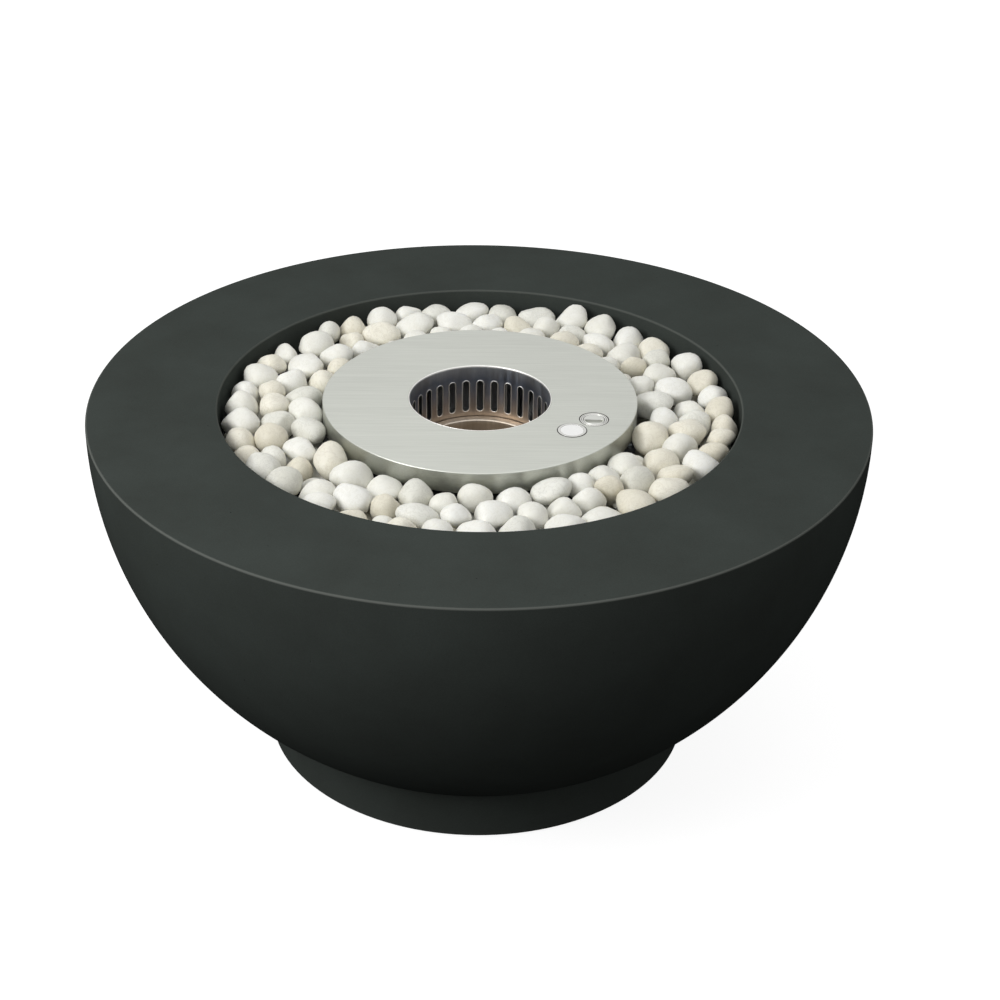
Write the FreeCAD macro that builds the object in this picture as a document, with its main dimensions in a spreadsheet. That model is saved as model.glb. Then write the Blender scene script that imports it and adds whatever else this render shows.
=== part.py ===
import FreeCAD, Part
import math
import os
import random
import re
import Sketcher

doc = FreeCAD.newDocument("ethanol_fire_pit")
sheet = doc.addObject("Spreadsheet::Sheet", "Sizes")

# Dimensions in millimetres: name, value, what it is. One that follows from
# others holds a formula in place of a number.
DIMENSIONS = [
    ("rim_radius", 502.5, "outside radius of the cast bowl at its rim"),
    ("bowl_height", "=floor_height + sqrt(rim_radius ^ 2 - flat_radius ^ 2) + rim_band",
     "ground to the flat top of the rim: the foot, the ball above its flat, and the band"),
    ("rim_band", 9, "height of the upright band under the rim, where the ball shape starts"),
    ("rim_thickness", 20, "thickness of the flat rim"),
    ("shell_wall", 18, "wall of the cast bowl"),
    ("edge_bevel", 2.5, "eased edge of the casting"),
    ("lip_radius", 337, "radius of the round opening in the rim"),
    ("lip_wall", 18, "wall of the downturned lip"),
    ("ledge_depth", 76, "rim top to the ledge that carries the tray"),
    ("ledge_width", 24, "how far the ledge stands into the opening"),
    ("ledge_thickness", 16, "thickness of the ledge"),
    ("floor_height", 60, "ground to the underside of the bowl's floor"),
    ("floor_thickness", 24, "thickness of the bowl's floor"),
    ("drain_radius", 16, "radius of the drain hole in the bowl's floor"),
    ("bush_wall", 3, "wall of the drain bush"),
    ("bush_flange", 7, "width of the drain bush's flange"),
    ("foot_radius", 286, "outside radius of the foot ring"),
    ("foot_wall", 48, "width of the foot ring"),
    ("foot_bore", "=foot_radius - foot_wall", "inside radius of the foot ring"),
    ("foot_lap", 11.65, "how far the foot ring reaches out past the flat under the ball"),
    ("flat_radius", "=foot_radius - foot_lap", "radius of the flat under the ball"),
    ("foot_joint", 0.5, "bedding joint between the foot ring and the ball"),
    ("pad_count", 6, "rubber pads under the foot"),
    ("pad_radius", 19, "radius of a rubber pad"),
    ("pad_thickness", 6, "thickness of a rubber pad"),
    ("pad_proud", 2, "how far the pads lift the foot off the ground"),
    ("bolt_count", 6, "bolts that hold the foot"),
    ("bolt_inset", 18, "inside of the foot ring to the circle of foot bolts"),
    ("bolt_circle", "=foot_bore + bolt_inset", "radius of the circle of foot bolts"),
    ("bolt_radius", 5, "radius of the bolts that hold the foot"),
    ("bolt_slack", 1, "clearance round a bolt in the bowl's floor"),
    ("bolt_grip", 32, "depth of a foot bolt in the foot ring"),
    ("bolt_head_radius", 8.5, "radius over the head of a foot bolt"),
    ("bolt_head_height", 6.4, "height of the head of a foot bolt"),
    ("washer_radius", 14, "outside radius of a foot washer"),
    ("washer_thickness", 2.5, "thickness of a foot washer"),
    ("insert_wall", 3, "wall of a threaded insert in the foot ring"),
    ("insert_length", 36, "length of a threaded insert"),
    ("fit_gap", 0.05, "clearance of a bolt, insert or pressed-in piece"),
    ("gasket_thickness", 3, "thickness of the fibre rings under the tray and the burner"),
    ("tray_gauge", 2, "sheet of the pebble tray"),
    ("tray_clearance", 2, "gap between the tray and the lip"),
    ("tray_upstand", 16, "height of the tray's upturned outer edge"),
    ("tank_clearance", 6, "gap between the fuel tank and the collar that carries the burner"),
    ("collar_radius", "=tank_radius + tank_clearance", "inside radius of the collar"),
    ("collar_flange", 14, "width of the collar's foot flange"),
    ("rain_hole_count", 12, "rain holes in the tray"),
    ("rain_hole_radius", 5, "radius of a rain hole"),
    ("screw_count", 6, "screws that hold the collar"),
    ("screw_end", 2, "length of a collar screw past its nut"),
    ("screw_radius", 2.5, "radius of the collar screws"),
    ("screw_head_radius", 4.5, "radius over the head of a collar screw"),
    ("screw_head_height", 2.8, "height of the head of a collar screw"),
    ("nut_height", 4, "height of the collar nuts"),
    ("rest_gap", 0.3, "running gap between pieces that lift apart"),
    ("plate_overhang", 15, "how far the burner plate reaches past the inside of the collar"),
    ("plate_radius", "=collar_radius + plate_overhang", "outside radius of the burner plate"),
    ("plate_proud", 1, "how far the burner plate stands above the rim"),
    ("plate_gauge", 2, "sheet of the burner plate"),
    ("plate_skirt", 28, "height of the plate's downturned edge"),
    ("plate_bevel", 1, "rounded bend of the plate's edge"),
    ("burner_depth", 110, "plate top to the underside of the fuel tank"),
    ("tank_radius", 182, "outside radius of the fuel tank"),
    ("tank_gauge", 1.5, "sheet of the fuel tank and the fire well"),
    ("well_radius", 91, "inside radius of the fire well"),
    ("slot_count", 30, "air slots round the fire well"),
    ("slot_end", 4.25, "radius of an air slot's round ends, half its width"),
    ("slot_depth", 22, "plate top to the top of an air slot"),
    ("slot_length", 45, "length of an air slot over its round ends"),
    ("cup_ledge", 12.5, "inside of the fire well to the inside of the fuel cup"),
    ("cup_radius", "=well_radius - cup_ledge", "inside radius of the fuel cup"),
    ("cup_depth", 74.5, "plate top to the flange of the fuel cup"),
    ("port_count", 6, "fuel ports through the well and the cup"),
    ("port_radius", 5, "radius of a fuel port through the well and the cup"),
    ("port_height", 9, "tank floor to the middle of a fuel port"),
    ("baffle_count", 6, "surge baffles in the tank"),
    ("baffle_gap", 12, "space under and over a surge baffle"),
    ("tank_foot_count", 4, "feet under the fuel tank"),
    ("burner_foot_height", 3, "height of the feet under the fuel tank"),
    ("burner_foot_radius", 12, "radius of a foot under the fuel tank"),
    ("filler_inset", 26, "outside of the tank to the middle of the filler"),
    ("filler_distance", "=tank_radius - filler_inset", "burner axis to the filler"),
    ("filler_angle", -22, "direction of the filler, in degrees from the right"),
    ("filler_flange", 18, "radius of the filler's flange in the plate"),
    ("neck_radius", 12, "inside radius of the filler neck"),
    ("neck_wall", 1.5, "wall of the filler neck"),
    ("neck_length", 62, "length of the filler neck"),
    ("cap_radius", 15.7, "radius of the filler cap"),
    ("cap_height", 6, "height of the filler cap's head"),
    ("plug_length", 16, "length of the plug under the cap's head"),
    ("ring_drop", 7, "underside of the cap's head to the middle of the sealing ring"),
    ("ring_section", 1.3, "radius of the sealing ring's section"),
    ("turn_radius", 13.4, "radius of the cap's finger turn"),
    ("turn_height", 4, "height of the finger turn"),
    ("recess_rim", 1.2, "rim left round the finger recess"),
    ("recess_depth", 2.2, "depth of the finger recess"),
    ("stem_radius", 3, "radius of the latch stem"),
    ("catch_space", 1.2, "clearance of the latch bar in the notch, and of the plug over the catch ring"),
    ("catch_radius", 9.5, "inside radius of the catch ring in the neck"),
    ("catch_thickness", 2, "thickness of the catch ring"),
    ("latch_width", 5, "width of the latch bar"),
    ("latch_thickness", 2.5, "thickness of the latch bar"),
    ("strainer_slot_count", 12, "slots round the strainer"),
    ("strainer_slot_end", 1.5, "radius of the round ends of a strainer slot"),
    ("strainer_depth", 22, "depth of the strainer under the neck"),
    ("badge_inset", 36, "outside of the tank to the middle of the round badge"),
    ("badge_distance", "=tank_radius - badge_inset", "burner axis to the round badge"),
    ("badge_angle", -37.5, "direction of the badge, in degrees from the right"),
    ("badge_radius", 18, "outside radius of the badge's ring"),
    ("badge_face", 14.5, "radius of the badge's bare face"),
    ("badge_proud", 0.5, "how far the badge's ring stands above the plate"),
    ("stone_long", 31, "longest half length of a pebble before its neighbours crowd it"),
    ("stone_short", 20, "shortest half length of a pebble of the two full layers"),
    ("small_long", 15, "longest half length of the small pebbles in the gaps"),
    ("small_short", 9, "shortest half length of the small pebbles in the gaps"),
    ("stone_tip", 10, "usual tip of an upper pebble out of the level, in degrees"),
    ("stone_gap", 0.25, "gap at which settled pebbles touch"),
    ("lower_stones", 95, "pebbles in the lower layer"),
    ("upper_stones", 115, "pebbles in the upper layer"),
    ("small_stones", 70, "small pebbles tried in the gaps"),
    ("bed_depth", 70, "tray floor to the top of the pebble bed"),
    ("bed_ripple", 9, "how far the tops of the upper pebbles differ"),
    ("small_sunk", 14, "how far the small pebbles lie below the top of the bed at least"),
]
for row, (alias, value, meaning) in enumerate(DIMENSIONS, start=1):
    sheet.set("A%d" % row, alias)
    sheet.set("B%d" % row, str(value))
    sheet.setAlias("B%d" % row, alias)
    sheet.set("C%d" % row, meaning)
doc.recompute()
ALIASES = {alias for alias, value, meaning in DIMENSIONS}

# Heights that several pieces share, as sums of driving dimensions
BALL_CENTRE = "bowl_height - rim_band"
BOWL_FLOOR = "floor_height + floor_thickness"
LEDGE_TOP = "bowl_height - ledge_depth"
TRAY_UNDER = LEDGE_TOP + " + gasket_thickness"
TRAY_FLOOR = TRAY_UNDER + " + tray_gauge"
FLANGE_TOP = TRAY_FLOOR + " + tray_gauge"
PLATE_TOP = "bowl_height + plate_proud"
PLATE_UNDER = PLATE_TOP + " - plate_gauge"
SEAT_TOP = PLATE_UNDER + " - rest_gap"
COLLAR_TOP = SEAT_TOP + " - gasket_thickness"
TANK_UNDER = PLATE_TOP + " - burner_depth"
TANK_FLOOR = TANK_UNDER + " + tank_gauge"
CAP_SEAT = PLATE_TOP + " - cap_height"
PLUG_END = CAP_SEAT + " - plug_length"

ON_AXIS = "0"
PARTS = []


def bound(expression):
    """Turn a formula in size names into one that reads the sheet."""
    def cell(match):
        word = match.group(0)
        return "Sizes." + word if word in ALIASES else word
    return re.sub(r"[a-z_]+", cell, expression)


def total(expression):
    """Add up a plain sum of size names and numbers, in millimetres."""
    value = 0.0
    sign = 1
    for word in expression.split():
        if word == "+":
            sign = 1
        elif word == "-":
            sign = -1
        else:
            value += sign * float(sheet.get(word) if word in ALIASES else word)
    return value


def bind(thing, **formulas):
    """Bind properties of an object to formulas; place_x is Placement.Base.x."""
    for name, formula in formulas.items():
        path = name.replace("place_", "Placement.Base.")
        thing.setExpression(path, bound(formula))
    return thing


def named(thing):
    """Count an object as a sub-part of its own."""
    thing.Label = thing.Name
    PARTS.append(thing)
    return thing


def cylinder(name, radius, bottom, top, x="0", y="0"):
    """An upright cylinder from one height to another."""
    solid = doc.addObject("Part::Cylinder", name)
    bind(solid, Radius=radius, Height="(%s) - (%s)" % (top, bottom))
    return bind(solid, place_x=x, place_y=y, place_z=bottom)


def cone(name, low_radius, high_radius, bottom, top, x="0", y="0"):
    """An upright cone from one height to another."""
    solid = doc.addObject("Part::Cone", name)
    bind(solid, Radius1=low_radius, Radius2=high_radius, Height="(%s) - (%s)" % (top, bottom))
    return bind(solid, place_x=x, place_y=y, place_z=bottom)


def cut(name, base, *tools):
    """One solid less one or more others."""
    result = base
    for number, tool in enumerate(tools, start=1):
        last = number == len(tools)
        step = doc.addObject("Part::Cut", name if last else "%s_cut_%d" % (name, number))
        step.Base = result
        step.Tool = tool
        result = step
    return result


def fuse(name, *solids):
    """Several touching solids made one."""
    result = doc.addObject("Part::MultiFuse", name)
    result.Shapes = list(solids)
    return result


def group(name, solids):
    """Like pieces that share one node, each its own solid."""
    result = doc.addObject("Part::Compound", name)
    result.Links = list(solids)
    return result


def tube(name, inner, outer, bottom, top, x="0", y="0"):
    """An upright tube, cut through with a millimetre to spare at both ends."""
    body = cylinder(name + "_outside", outer, bottom, top, x, y)
    bore = cylinder(name + "_bore", inner, bottom + " - 1", top + " + 1", x, y)
    return cut(name, body, bore)


def around(distance, angle):
    """The two formulas of a point at a distance from the axis, at an angle in degrees."""
    return "(%s) * cos((%s) * 1 deg)" % (distance, angle), "(%s) * sin((%s) * 1 deg)" % (distance, angle)


def ring_of(name, count, distance, start, make):
    """Like pieces evenly spaced round the axis, the first at the start angle."""
    pieces = []
    for number in range(int(total(count))):
        angle = "%s + %d * 360 / %s" % (start, number, count)
        x, y = around(distance, angle)
        pieces.append(make("%s_%d" % (name, number + 1), x, y))
    return pieces


def origin_plane(body, role):
    """One of a body's own origin planes."""
    for feature in body.Origin.OriginFeatures:
        if feature.Role == role:
            return feature
    raise ValueError("no plane " + role)


def sketch_on(body, name, role):
    """A new sketch on one of a body's origin planes."""
    sketch = body.newObject("Sketcher::SketchObject", name)
    sketch.AttachmentSupport = [(origin_plane(body, role), "")]
    sketch.MapMode = "FlatFace"
    return sketch


def constrain(sketch, formula, kind, *places):
    """Add a dimension to a sketch and bind it to the sheet."""
    index = sketch.addConstraint(Sketcher.Constraint(kind, *places, total(formula)))
    sketch.setExpression("Constraints[%d]" % index, bound(formula))


def arc_between(centre_height, radius, low, high):
    """The right-hand arc of a circle on the axis, between two heights."""
    circle = Part.Circle(FreeCAD.Vector(0, centre_height, 0), FreeCAD.Vector(0, 0, 1), radius)
    start = math.asin((low - centre_height) / radius)
    end = math.asin((high - centre_height) / radius)
    return Part.ArcOfCircle(circle, start, end)


def turned(name, corners, arcs=None):
    """A body turned about the upright axis from a closed profile.

    Each corner is a radius and a height, as sums of sizes. An arc runs from
    its corner to the next, round a centre on the axis, and settles whichever
    of the two a corner leaves out.
    """
    arcs = arcs or {}
    body = doc.addObject("PartDesign::Body", name)
    sketch = sketch_on(body, name + "_profile", "XZ_Plane")
    count = len(corners)
    points = []
    for number, (radius, height) in enumerate(corners):
        if radius is None or height is None:
            centre, ball = arcs[number] if number in arcs else arcs[number - 1]
        x = total(radius) if radius else math.sqrt(total(ball) ** 2 - (total(height) - total(centre)) ** 2)
        z = total(height) if height else total(centre) - math.sqrt(total(ball) ** 2 - x ** 2)
        points.append(FreeCAD.Vector(x, z, 0))
    starts = []
    ends = []
    for number in range(count):
        here = points[number]
        there = points[(number + 1) % count]
        rising = here.y < there.y
        if number in arcs:
            centre, ball = arcs[number]
            low, high = sorted((here.y, there.y))
            sketch.addGeometry(arc_between(total(centre), total(ball), low, high))
            starts.append(1 if rising else 2)
            ends.append(2 if rising else 1)
        else:
            sketch.addGeometry(Part.LineSegment(here, there))
            starts.append(1)
            ends.append(2)
    for number in range(count):
        after = (number + 1) % count
        sketch.addConstraint(Sketcher.Constraint("Coincident", number, ends[number], after, starts[after]))
    for number, (radius, height) in enumerate(corners):
        if radius == ON_AXIS:
            sketch.addConstraint(Sketcher.Constraint("PointOnObject", number, starts[number], -2))
        elif radius:
            constrain(sketch, radius, "DistanceX", -1, 1, number, starts[number])
        if height:
            constrain(sketch, height, "DistanceY", -1, 1, number, starts[number])
    for number, (centre, ball) in arcs.items():
        sketch.addConstraint(Sketcher.Constraint("PointOnObject", number, 3, -2))
        constrain(sketch, centre, "DistanceY", -1, 1, number, 3)
        constrain(sketch, ball, "Radius", number)
    turn = body.newObject("PartDesign::Revolution", name + "_turn")
    turn.Profile = sketch
    turn.ReferenceAxis = (sketch, ["V_Axis"])
    turn.Angle = 360
    sketch.Visibility = False
    return body


def slot_outline(sketch, half_width, low, high):
    """An upright slot with round ends, centred on the sketch's upright axis."""
    wide = total(half_width)
    ends = (total(low), total(high))
    up = FreeCAD.Vector(0, 0, 1)
    for height, start in zip(ends, (math.pi, 0)):
        circle = Part.Circle(FreeCAD.Vector(0, height, 0), up, wide)
        sketch.addGeometry(Part.ArcOfCircle(circle, start, start + math.pi))
    for side in (-wide, wide):
        foot, head = (FreeCAD.Vector(side, height, 0) for height in ends)
        sketch.addGeometry(Part.LineSegment(foot, head))
    for line, low_end, high_end in ((2, 1, 2), (3, 2, 1)):
        sketch.addConstraint(Sketcher.Constraint("Tangent", line, 1, 0, low_end))
        sketch.addConstraint(Sketcher.Constraint("Tangent", line, 2, 1, high_end))
    for arc, height in enumerate((low, high)):
        sketch.addConstraint(Sketcher.Constraint("PointOnObject", arc, 3, -2))
        constrain(sketch, height, "DistanceY", -1, 1, arc, 3)
    constrain(sketch, half_width, "Radius", 0)


def pierce_around(body, name, outline, reach, count):
    """Cut an outline through one side of a turned body and repeat it round the axis."""
    doc.recompute()
    before = body.Shape.Volume
    sketch = sketch_on(body, name + "_outline", "XZ_Plane")
    outline(sketch)
    pocket = body.newObject("PartDesign::Pocket", name)
    pocket.Profile = sketch
    pocket.Type = "Length"
    bind(pocket, Length=reach)
    sketch.Visibility = False
    doc.recompute()
    pattern = body.newObject("PartDesign::PolarPattern", name + "_round")
    pattern.Originals = [pocket]
    pattern.Axis = (sketch, ["V_Axis"])
    pattern.Angle = 360
    bind(pattern, Occurrences=count)
    body.Tip = pattern
    doc.recompute()
    if body.Shape.Volume >= before:
        raise ValueError(name + " cuts nothing")


def round_outline(radius, height):
    """A circle on the sketch's upright axis."""
    def draw(sketch):
        centre = FreeCAD.Vector(0, total(height), 0)
        sketch.addGeometry(Part.Circle(centre, FreeCAD.Vector(0, 0, 1), total(radius)))
        sketch.addConstraint(Sketcher.Constraint("PointOnObject", 0, 3, -2))
        constrain(sketch, height, "DistanceY", -1, 1, 0, 3)
        constrain(sketch, radius, "Radius", 0)
    return draw


# Cast bowl: a ball-shaped shell with a flat rim, a downturned lip, the ledge
# that carries the tray, and a flat floor with a drain hole and bolt holes
bowl_blank = turned("bowl_blank", [
    ("drain_radius", "floor_height"),
    (None, "floor_height"),
    (None, BALL_CENTRE),
    ("rim_radius", "bowl_height - edge_bevel"),
    ("rim_radius - edge_bevel", "bowl_height"),
    ("lip_radius + edge_bevel", "bowl_height"),
    ("lip_radius", "bowl_height - edge_bevel"),
    ("lip_radius", LEDGE_TOP),
    ("lip_radius - ledge_width", LEDGE_TOP),
    ("lip_radius - ledge_width", LEDGE_TOP + " - ledge_thickness"),
    ("lip_radius + lip_wall", LEDGE_TOP + " - ledge_thickness"),
    ("lip_radius + lip_wall", "bowl_height - rim_thickness"),
    (None, "bowl_height - rim_thickness"),
    (None, BOWL_FLOOR),
    ("drain_radius", BOWL_FLOOR),
], {1: (BALL_CENTRE, "rim_radius"), 12: (BALL_CENTRE, "rim_radius - shell_wall")})


def bolt_hole(name, x, y):
    return cylinder(name, "bolt_radius + bolt_slack", "floor_height - 1", BOWL_FLOOR + " + 1", x, y)


bolt_holes = group("bolt_holes", ring_of("bolt_hole", "bolt_count", "bolt_circle", "0", bolt_hole))
named(cut("bowl_shell", bowl_blank, bolt_holes))

# Foot ring: cast apart, its top hollowed to the ball, with pockets for the
# threaded inserts above and for the rubber pads below
foot_blank = turned("foot_blank", [
    ("foot_bore", "pad_proud"),
    ("foot_radius - edge_bevel", "pad_proud"),
    ("foot_radius", "pad_proud + edge_bevel"),
    ("foot_radius", None),
    (None, "floor_height"),
    ("foot_bore", "floor_height"),
], {3: (BALL_CENTRE, "rim_radius + foot_joint")})
INSERT_RADIUS = "bolt_radius + fit_gap + insert_wall"
INSERT_END = "floor_height - insert_length"
PAD_CIRCLE = "(foot_bore + foot_radius) / 2"
PAD_START = "180 / pad_count"


def insert_pocket(name, x, y):
    return cylinder(name, INSERT_RADIUS + " + fit_gap", INSERT_END, "floor_height + 1", x, y)


def pad_pocket(name, x, y):
    return cylinder(name, "pad_radius + fit_gap", "pad_proud - 1", "pad_thickness", x, y)


insert_pockets = group("insert_pockets",
                       ring_of("insert_pocket", "bolt_count", "bolt_circle", "0", insert_pocket))
pad_pockets = group("pad_pockets", ring_of("pad_pocket", "pad_count", PAD_CIRCLE, PAD_START, pad_pocket))
named(cut("foot_ring", foot_blank, insert_pockets, pad_pockets))


def foot_pad(name, x, y):
    return cylinder(name, "pad_radius", "0", "pad_thickness", x, y)


def foot_insert(name, x, y):
    return tube(name, "bolt_radius + fit_gap", INSERT_RADIUS, INSERT_END, "floor_height", x, y)


def foot_washer(name, x, y):
    top = BOWL_FLOOR + " + washer_thickness"
    return tube(name, "bolt_radius + fit_gap", "washer_radius", BOWL_FLOOR, top, x, y)


def hexagon(name, radius, bottom, top, x, y):
    """An upright six-sided prism, as on a bolt head or a nut."""
    prism = doc.addObject("Part::Prism", name)
    prism.Polygon = 6
    bind(prism, Circumradius=radius, Height="(%s) - (%s)" % (top, bottom))
    return bind(prism, place_x=x, place_y=y, place_z=bottom)


def foot_bolt(name, x, y):
    seat = BOWL_FLOOR + " + washer_thickness"
    shank = cylinder(name + "_shank", "bolt_radius", "floor_height - bolt_grip", seat, x, y)
    head = hexagon(name + "_head", "bolt_head_radius", seat, seat + " + bolt_head_height", x, y)
    return fuse(name, shank, head)


named(group("foot_pads", ring_of("foot_pad", "pad_count", PAD_CIRCLE, PAD_START, foot_pad)))
named(group("foot_inserts", ring_of("foot_insert", "bolt_count", "bolt_circle", "0", foot_insert)))
named(group("foot_washers", ring_of("foot_washer", "bolt_count", "bolt_circle", "0", foot_washer)))
named(group("foot_bolts", ring_of("foot_bolt", "bolt_count", "bolt_circle", "0", foot_bolt)))

# Drain bush: a flanged sleeve that lines the drain hole
named(turned("drain_bush", [
    ("drain_radius - bush_wall", "floor_height"),
    ("drain_radius - fit_gap", "floor_height"),
    ("drain_radius - fit_gap", BOWL_FLOOR),
    ("drain_radius + bush_flange", BOWL_FLOOR),
    ("drain_radius + bush_flange", BOWL_FLOOR + " + bush_wall"),
    ("drain_radius - bush_wall", BOWL_FLOOR + " + bush_wall"),
]))

# Pebble tray: a pressed ring with an upturned outer edge, on a fibre ring on
# the ledge, with holes for the collar's screws and for rain water
TRAY_EDGE = "lip_radius - tray_clearance"
named(tube("tray_gasket", "lip_radius - ledge_width + gasket_thickness", TRAY_EDGE, LEDGE_TOP, TRAY_UNDER))
tray_blank = turned("tray_blank", [
    ("collar_radius", TRAY_UNDER),
    (TRAY_EDGE, TRAY_UNDER),
    (TRAY_EDGE, TRAY_UNDER + " + tray_upstand"),
    (TRAY_EDGE + " - tray_gauge", TRAY_UNDER + " + tray_upstand"),
    (TRAY_EDGE + " - tray_gauge", TRAY_FLOOR),
    ("collar_radius", TRAY_FLOOR),
])
SCREW_CIRCLE = "collar_radius + (collar_flange + tray_gauge) / 2"
RAIN_CIRCLE = "(collar_radius + collar_flange + lip_radius - ledge_width) / 2"


def screw_hole(name, x, y):
    return cylinder(name, "screw_radius + rest_gap", TRAY_UNDER + " - 1", FLANGE_TOP + " + 1", x, y)


def rain_hole(name, x, y):
    return cylinder(name, "rain_hole_radius", TRAY_UNDER + " - 1", TRAY_FLOOR + " + 1", x, y)


tray_holes = group("tray_screw_holes",
                   ring_of("tray_screw_hole", "screw_count", SCREW_CIRCLE, "0", screw_hole))
rain_holes = group("rain_holes", ring_of("rain_hole", "rain_hole_count", RAIN_CIRCLE, "0", rain_hole))
named(cut("media_tray", tray_blank, tray_holes, rain_holes))

# Collar: a flanged ring screwed to the tray, which keeps the pebbles off the
# fuel tank and carries the burner plate on a fibre ring
collar_blank = turned("collar_blank", [
    ("collar_radius", TRAY_FLOOR),
    ("collar_radius + collar_flange", TRAY_FLOOR),
    ("collar_radius + collar_flange", FLANGE_TOP),
    ("collar_radius + tray_gauge", FLANGE_TOP),
    ("collar_radius + tray_gauge", COLLAR_TOP),
    ("collar_radius", COLLAR_TOP),
])
collar_holes = group("collar_screw_holes",
                     ring_of("collar_screw_hole", "screw_count", SCREW_CIRCLE, "0", screw_hole))
named(cut("support_collar", collar_blank, collar_holes))
named(tube("seat_gasket", "collar_radius - gasket_thickness", "collar_radius + tray_gauge + gasket_thickness",
           COLLAR_TOP, SEAT_TOP))


def collar_screw(name, x, y):
    end = TRAY_UNDER + " - nut_height - screw_end"
    shank = cylinder(name + "_shank", "screw_radius", end, FLANGE_TOP, x, y)
    head = cone(name + "_head", "screw_head_radius", "screw_head_radius * 0.7",
                FLANGE_TOP, FLANGE_TOP + " + screw_head_height", x, y)
    return fuse(name, shank, head)


def collar_nut(name, x, y):
    body = hexagon(name + "_body", "screw_head_radius", TRAY_UNDER + " - nut_height", TRAY_UNDER, x, y)
    bore = cylinder(name + "_bore", "screw_radius + fit_gap", TRAY_UNDER + " - nut_height - 1",
                    TRAY_UNDER + " + 1", x, y)
    return cut(name, body, bore)


named(group("collar_screws", ring_of("collar_screw", "screw_count", SCREW_CIRCLE, "0", collar_screw)))
named(group("collar_nuts", ring_of("collar_nut", "screw_count", SCREW_CIRCLE, "0", collar_nut)))

# Burner plate: the round lid of the burner, its edge turned down over the
# collar, with the hole of the fire well and the hole of the filler
FILLER = around("filler_distance", "filler_angle")
BADGE = around("badge_distance", "badge_angle")
WELL_OUTSIDE = "well_radius + tank_gauge"
plate_blank = turned("plate_blank", [
    (WELL_OUTSIDE + " + fit_gap", PLATE_UNDER),
    ("plate_radius - plate_gauge", PLATE_UNDER),
    ("plate_radius - plate_gauge", PLATE_TOP + " - plate_skirt"),
    ("plate_radius", PLATE_TOP + " - plate_skirt"),
    ("plate_radius", PLATE_TOP + " - plate_bevel"),
    ("plate_radius - plate_bevel", PLATE_TOP),
    (WELL_OUTSIDE + " + fit_gap", PLATE_TOP),
])
filler_hole = cylinder("filler_hole", "filler_flange + fit_gap", PLATE_UNDER + " - 1", PLATE_TOP + " + 1",
                       *FILLER)
named(cut("burner_plate", plate_blank, filler_hole))

# Fire well: a tube open at the top, with air slots under the plate and fuel
# ports near the floor of the tank
fire_well = turned("fire_well", [
    ("well_radius", TANK_FLOOR),
    (WELL_OUTSIDE, TANK_FLOOR),
    (WELL_OUTSIDE, PLATE_TOP),
    ("well_radius", PLATE_TOP),
])


def air_slot(sketch):
    low = PLATE_TOP + " - slot_depth - slot_length + slot_end"
    high = PLATE_TOP + " - slot_depth - slot_end"
    slot_outline(sketch, "slot_end", low, high)


PORT = round_outline("port_radius", TANK_FLOOR + " + port_height")
pierce_around(fire_well, "air_slot", air_slot, WELL_OUTSIDE + " + 1", "slot_count")
pierce_around(fire_well, "well_port", PORT, WELL_OUTSIDE + " + 1", "port_count")
named(fire_well)

# Fuel cup: the dish in which the fuel burns, its flange close inside the well
CUP_TOP = PLATE_TOP + " - cup_depth"
fuel_cup = turned("fuel_cup", [
    (ON_AXIS, TANK_FLOOR),
    ("cup_radius + tank_gauge", TANK_FLOOR),
    ("cup_radius + tank_gauge", CUP_TOP + " - tank_gauge"),
    ("well_radius - fit_gap", CUP_TOP + " - tank_gauge"),
    ("well_radius - fit_gap", CUP_TOP),
    ("cup_radius", CUP_TOP),
    ("cup_radius", TANK_FLOOR + " + tank_gauge"),
    (ON_AXIS, TANK_FLOOR + " + tank_gauge"),
])
pierce_around(fuel_cup, "cup_port", PORT, "cup_radius + tank_gauge + 1", "port_count")
named(fuel_cup)

# Fuel tank: wall and floor round the well, feet under it, and upright plates
# inside that stop the fuel from surging
named(tube("tank_wall", "tank_radius - tank_gauge", "tank_radius", TANK_FLOOR, PLATE_UNDER))
named(cylinder("tank_floor", "tank_radius", TANK_UNDER, TANK_FLOOR))


def tank_foot(name, x, y):
    return cylinder(name, "burner_foot_radius", TANK_UNDER + " - burner_foot_height", TANK_UNDER, x, y)


named(group("tank_feet", ring_of("tank_foot", "tank_foot_count",
                                 "tank_radius - 2 * burner_foot_radius", "45", tank_foot)))
BAFFLE_START = WELL_OUTSIDE + " + rest_gap"
BAFFLE_END = "tank_radius - tank_gauge - rest_gap"


def baffle(name, angle):
    """An upright plate that stands out from the well."""
    plate = doc.addObject("Part::Box", name)
    plate.Placement.Rotation = FreeCAD.Rotation(FreeCAD.Vector(0, 0, 1), 1)
    bind(plate, Length="(%s) - (%s)" % (BAFFLE_END, BAFFLE_START), Width="tank_gauge")
    bind(plate, Height="(%s) - (%s) - 2 * baffle_gap" % (PLATE_UNDER, TANK_FLOOR))
    plate.setExpression("Placement.Rotation.Angle", bound("(%s) * 1 deg" % angle))
    x, y = around(BAFFLE_START, angle)
    bind(plate, place_x="%s + tank_gauge / 2 * sin((%s) * 1 deg)" % (x, angle))
    bind(plate, place_y="%s - tank_gauge / 2 * cos((%s) * 1 deg)" % (y, angle))
    return bind(plate, place_z=TANK_FLOOR + " + baffle_gap")


baffles = []
for number in range(int(total("baffle_count"))):
    angle = "filler_angle + (%d + 0.5) * 360 / baffle_count" % number
    baffles.append(baffle("baffle_%d" % (number + 1), angle))
named(group("tank_baffles", baffles))

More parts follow.
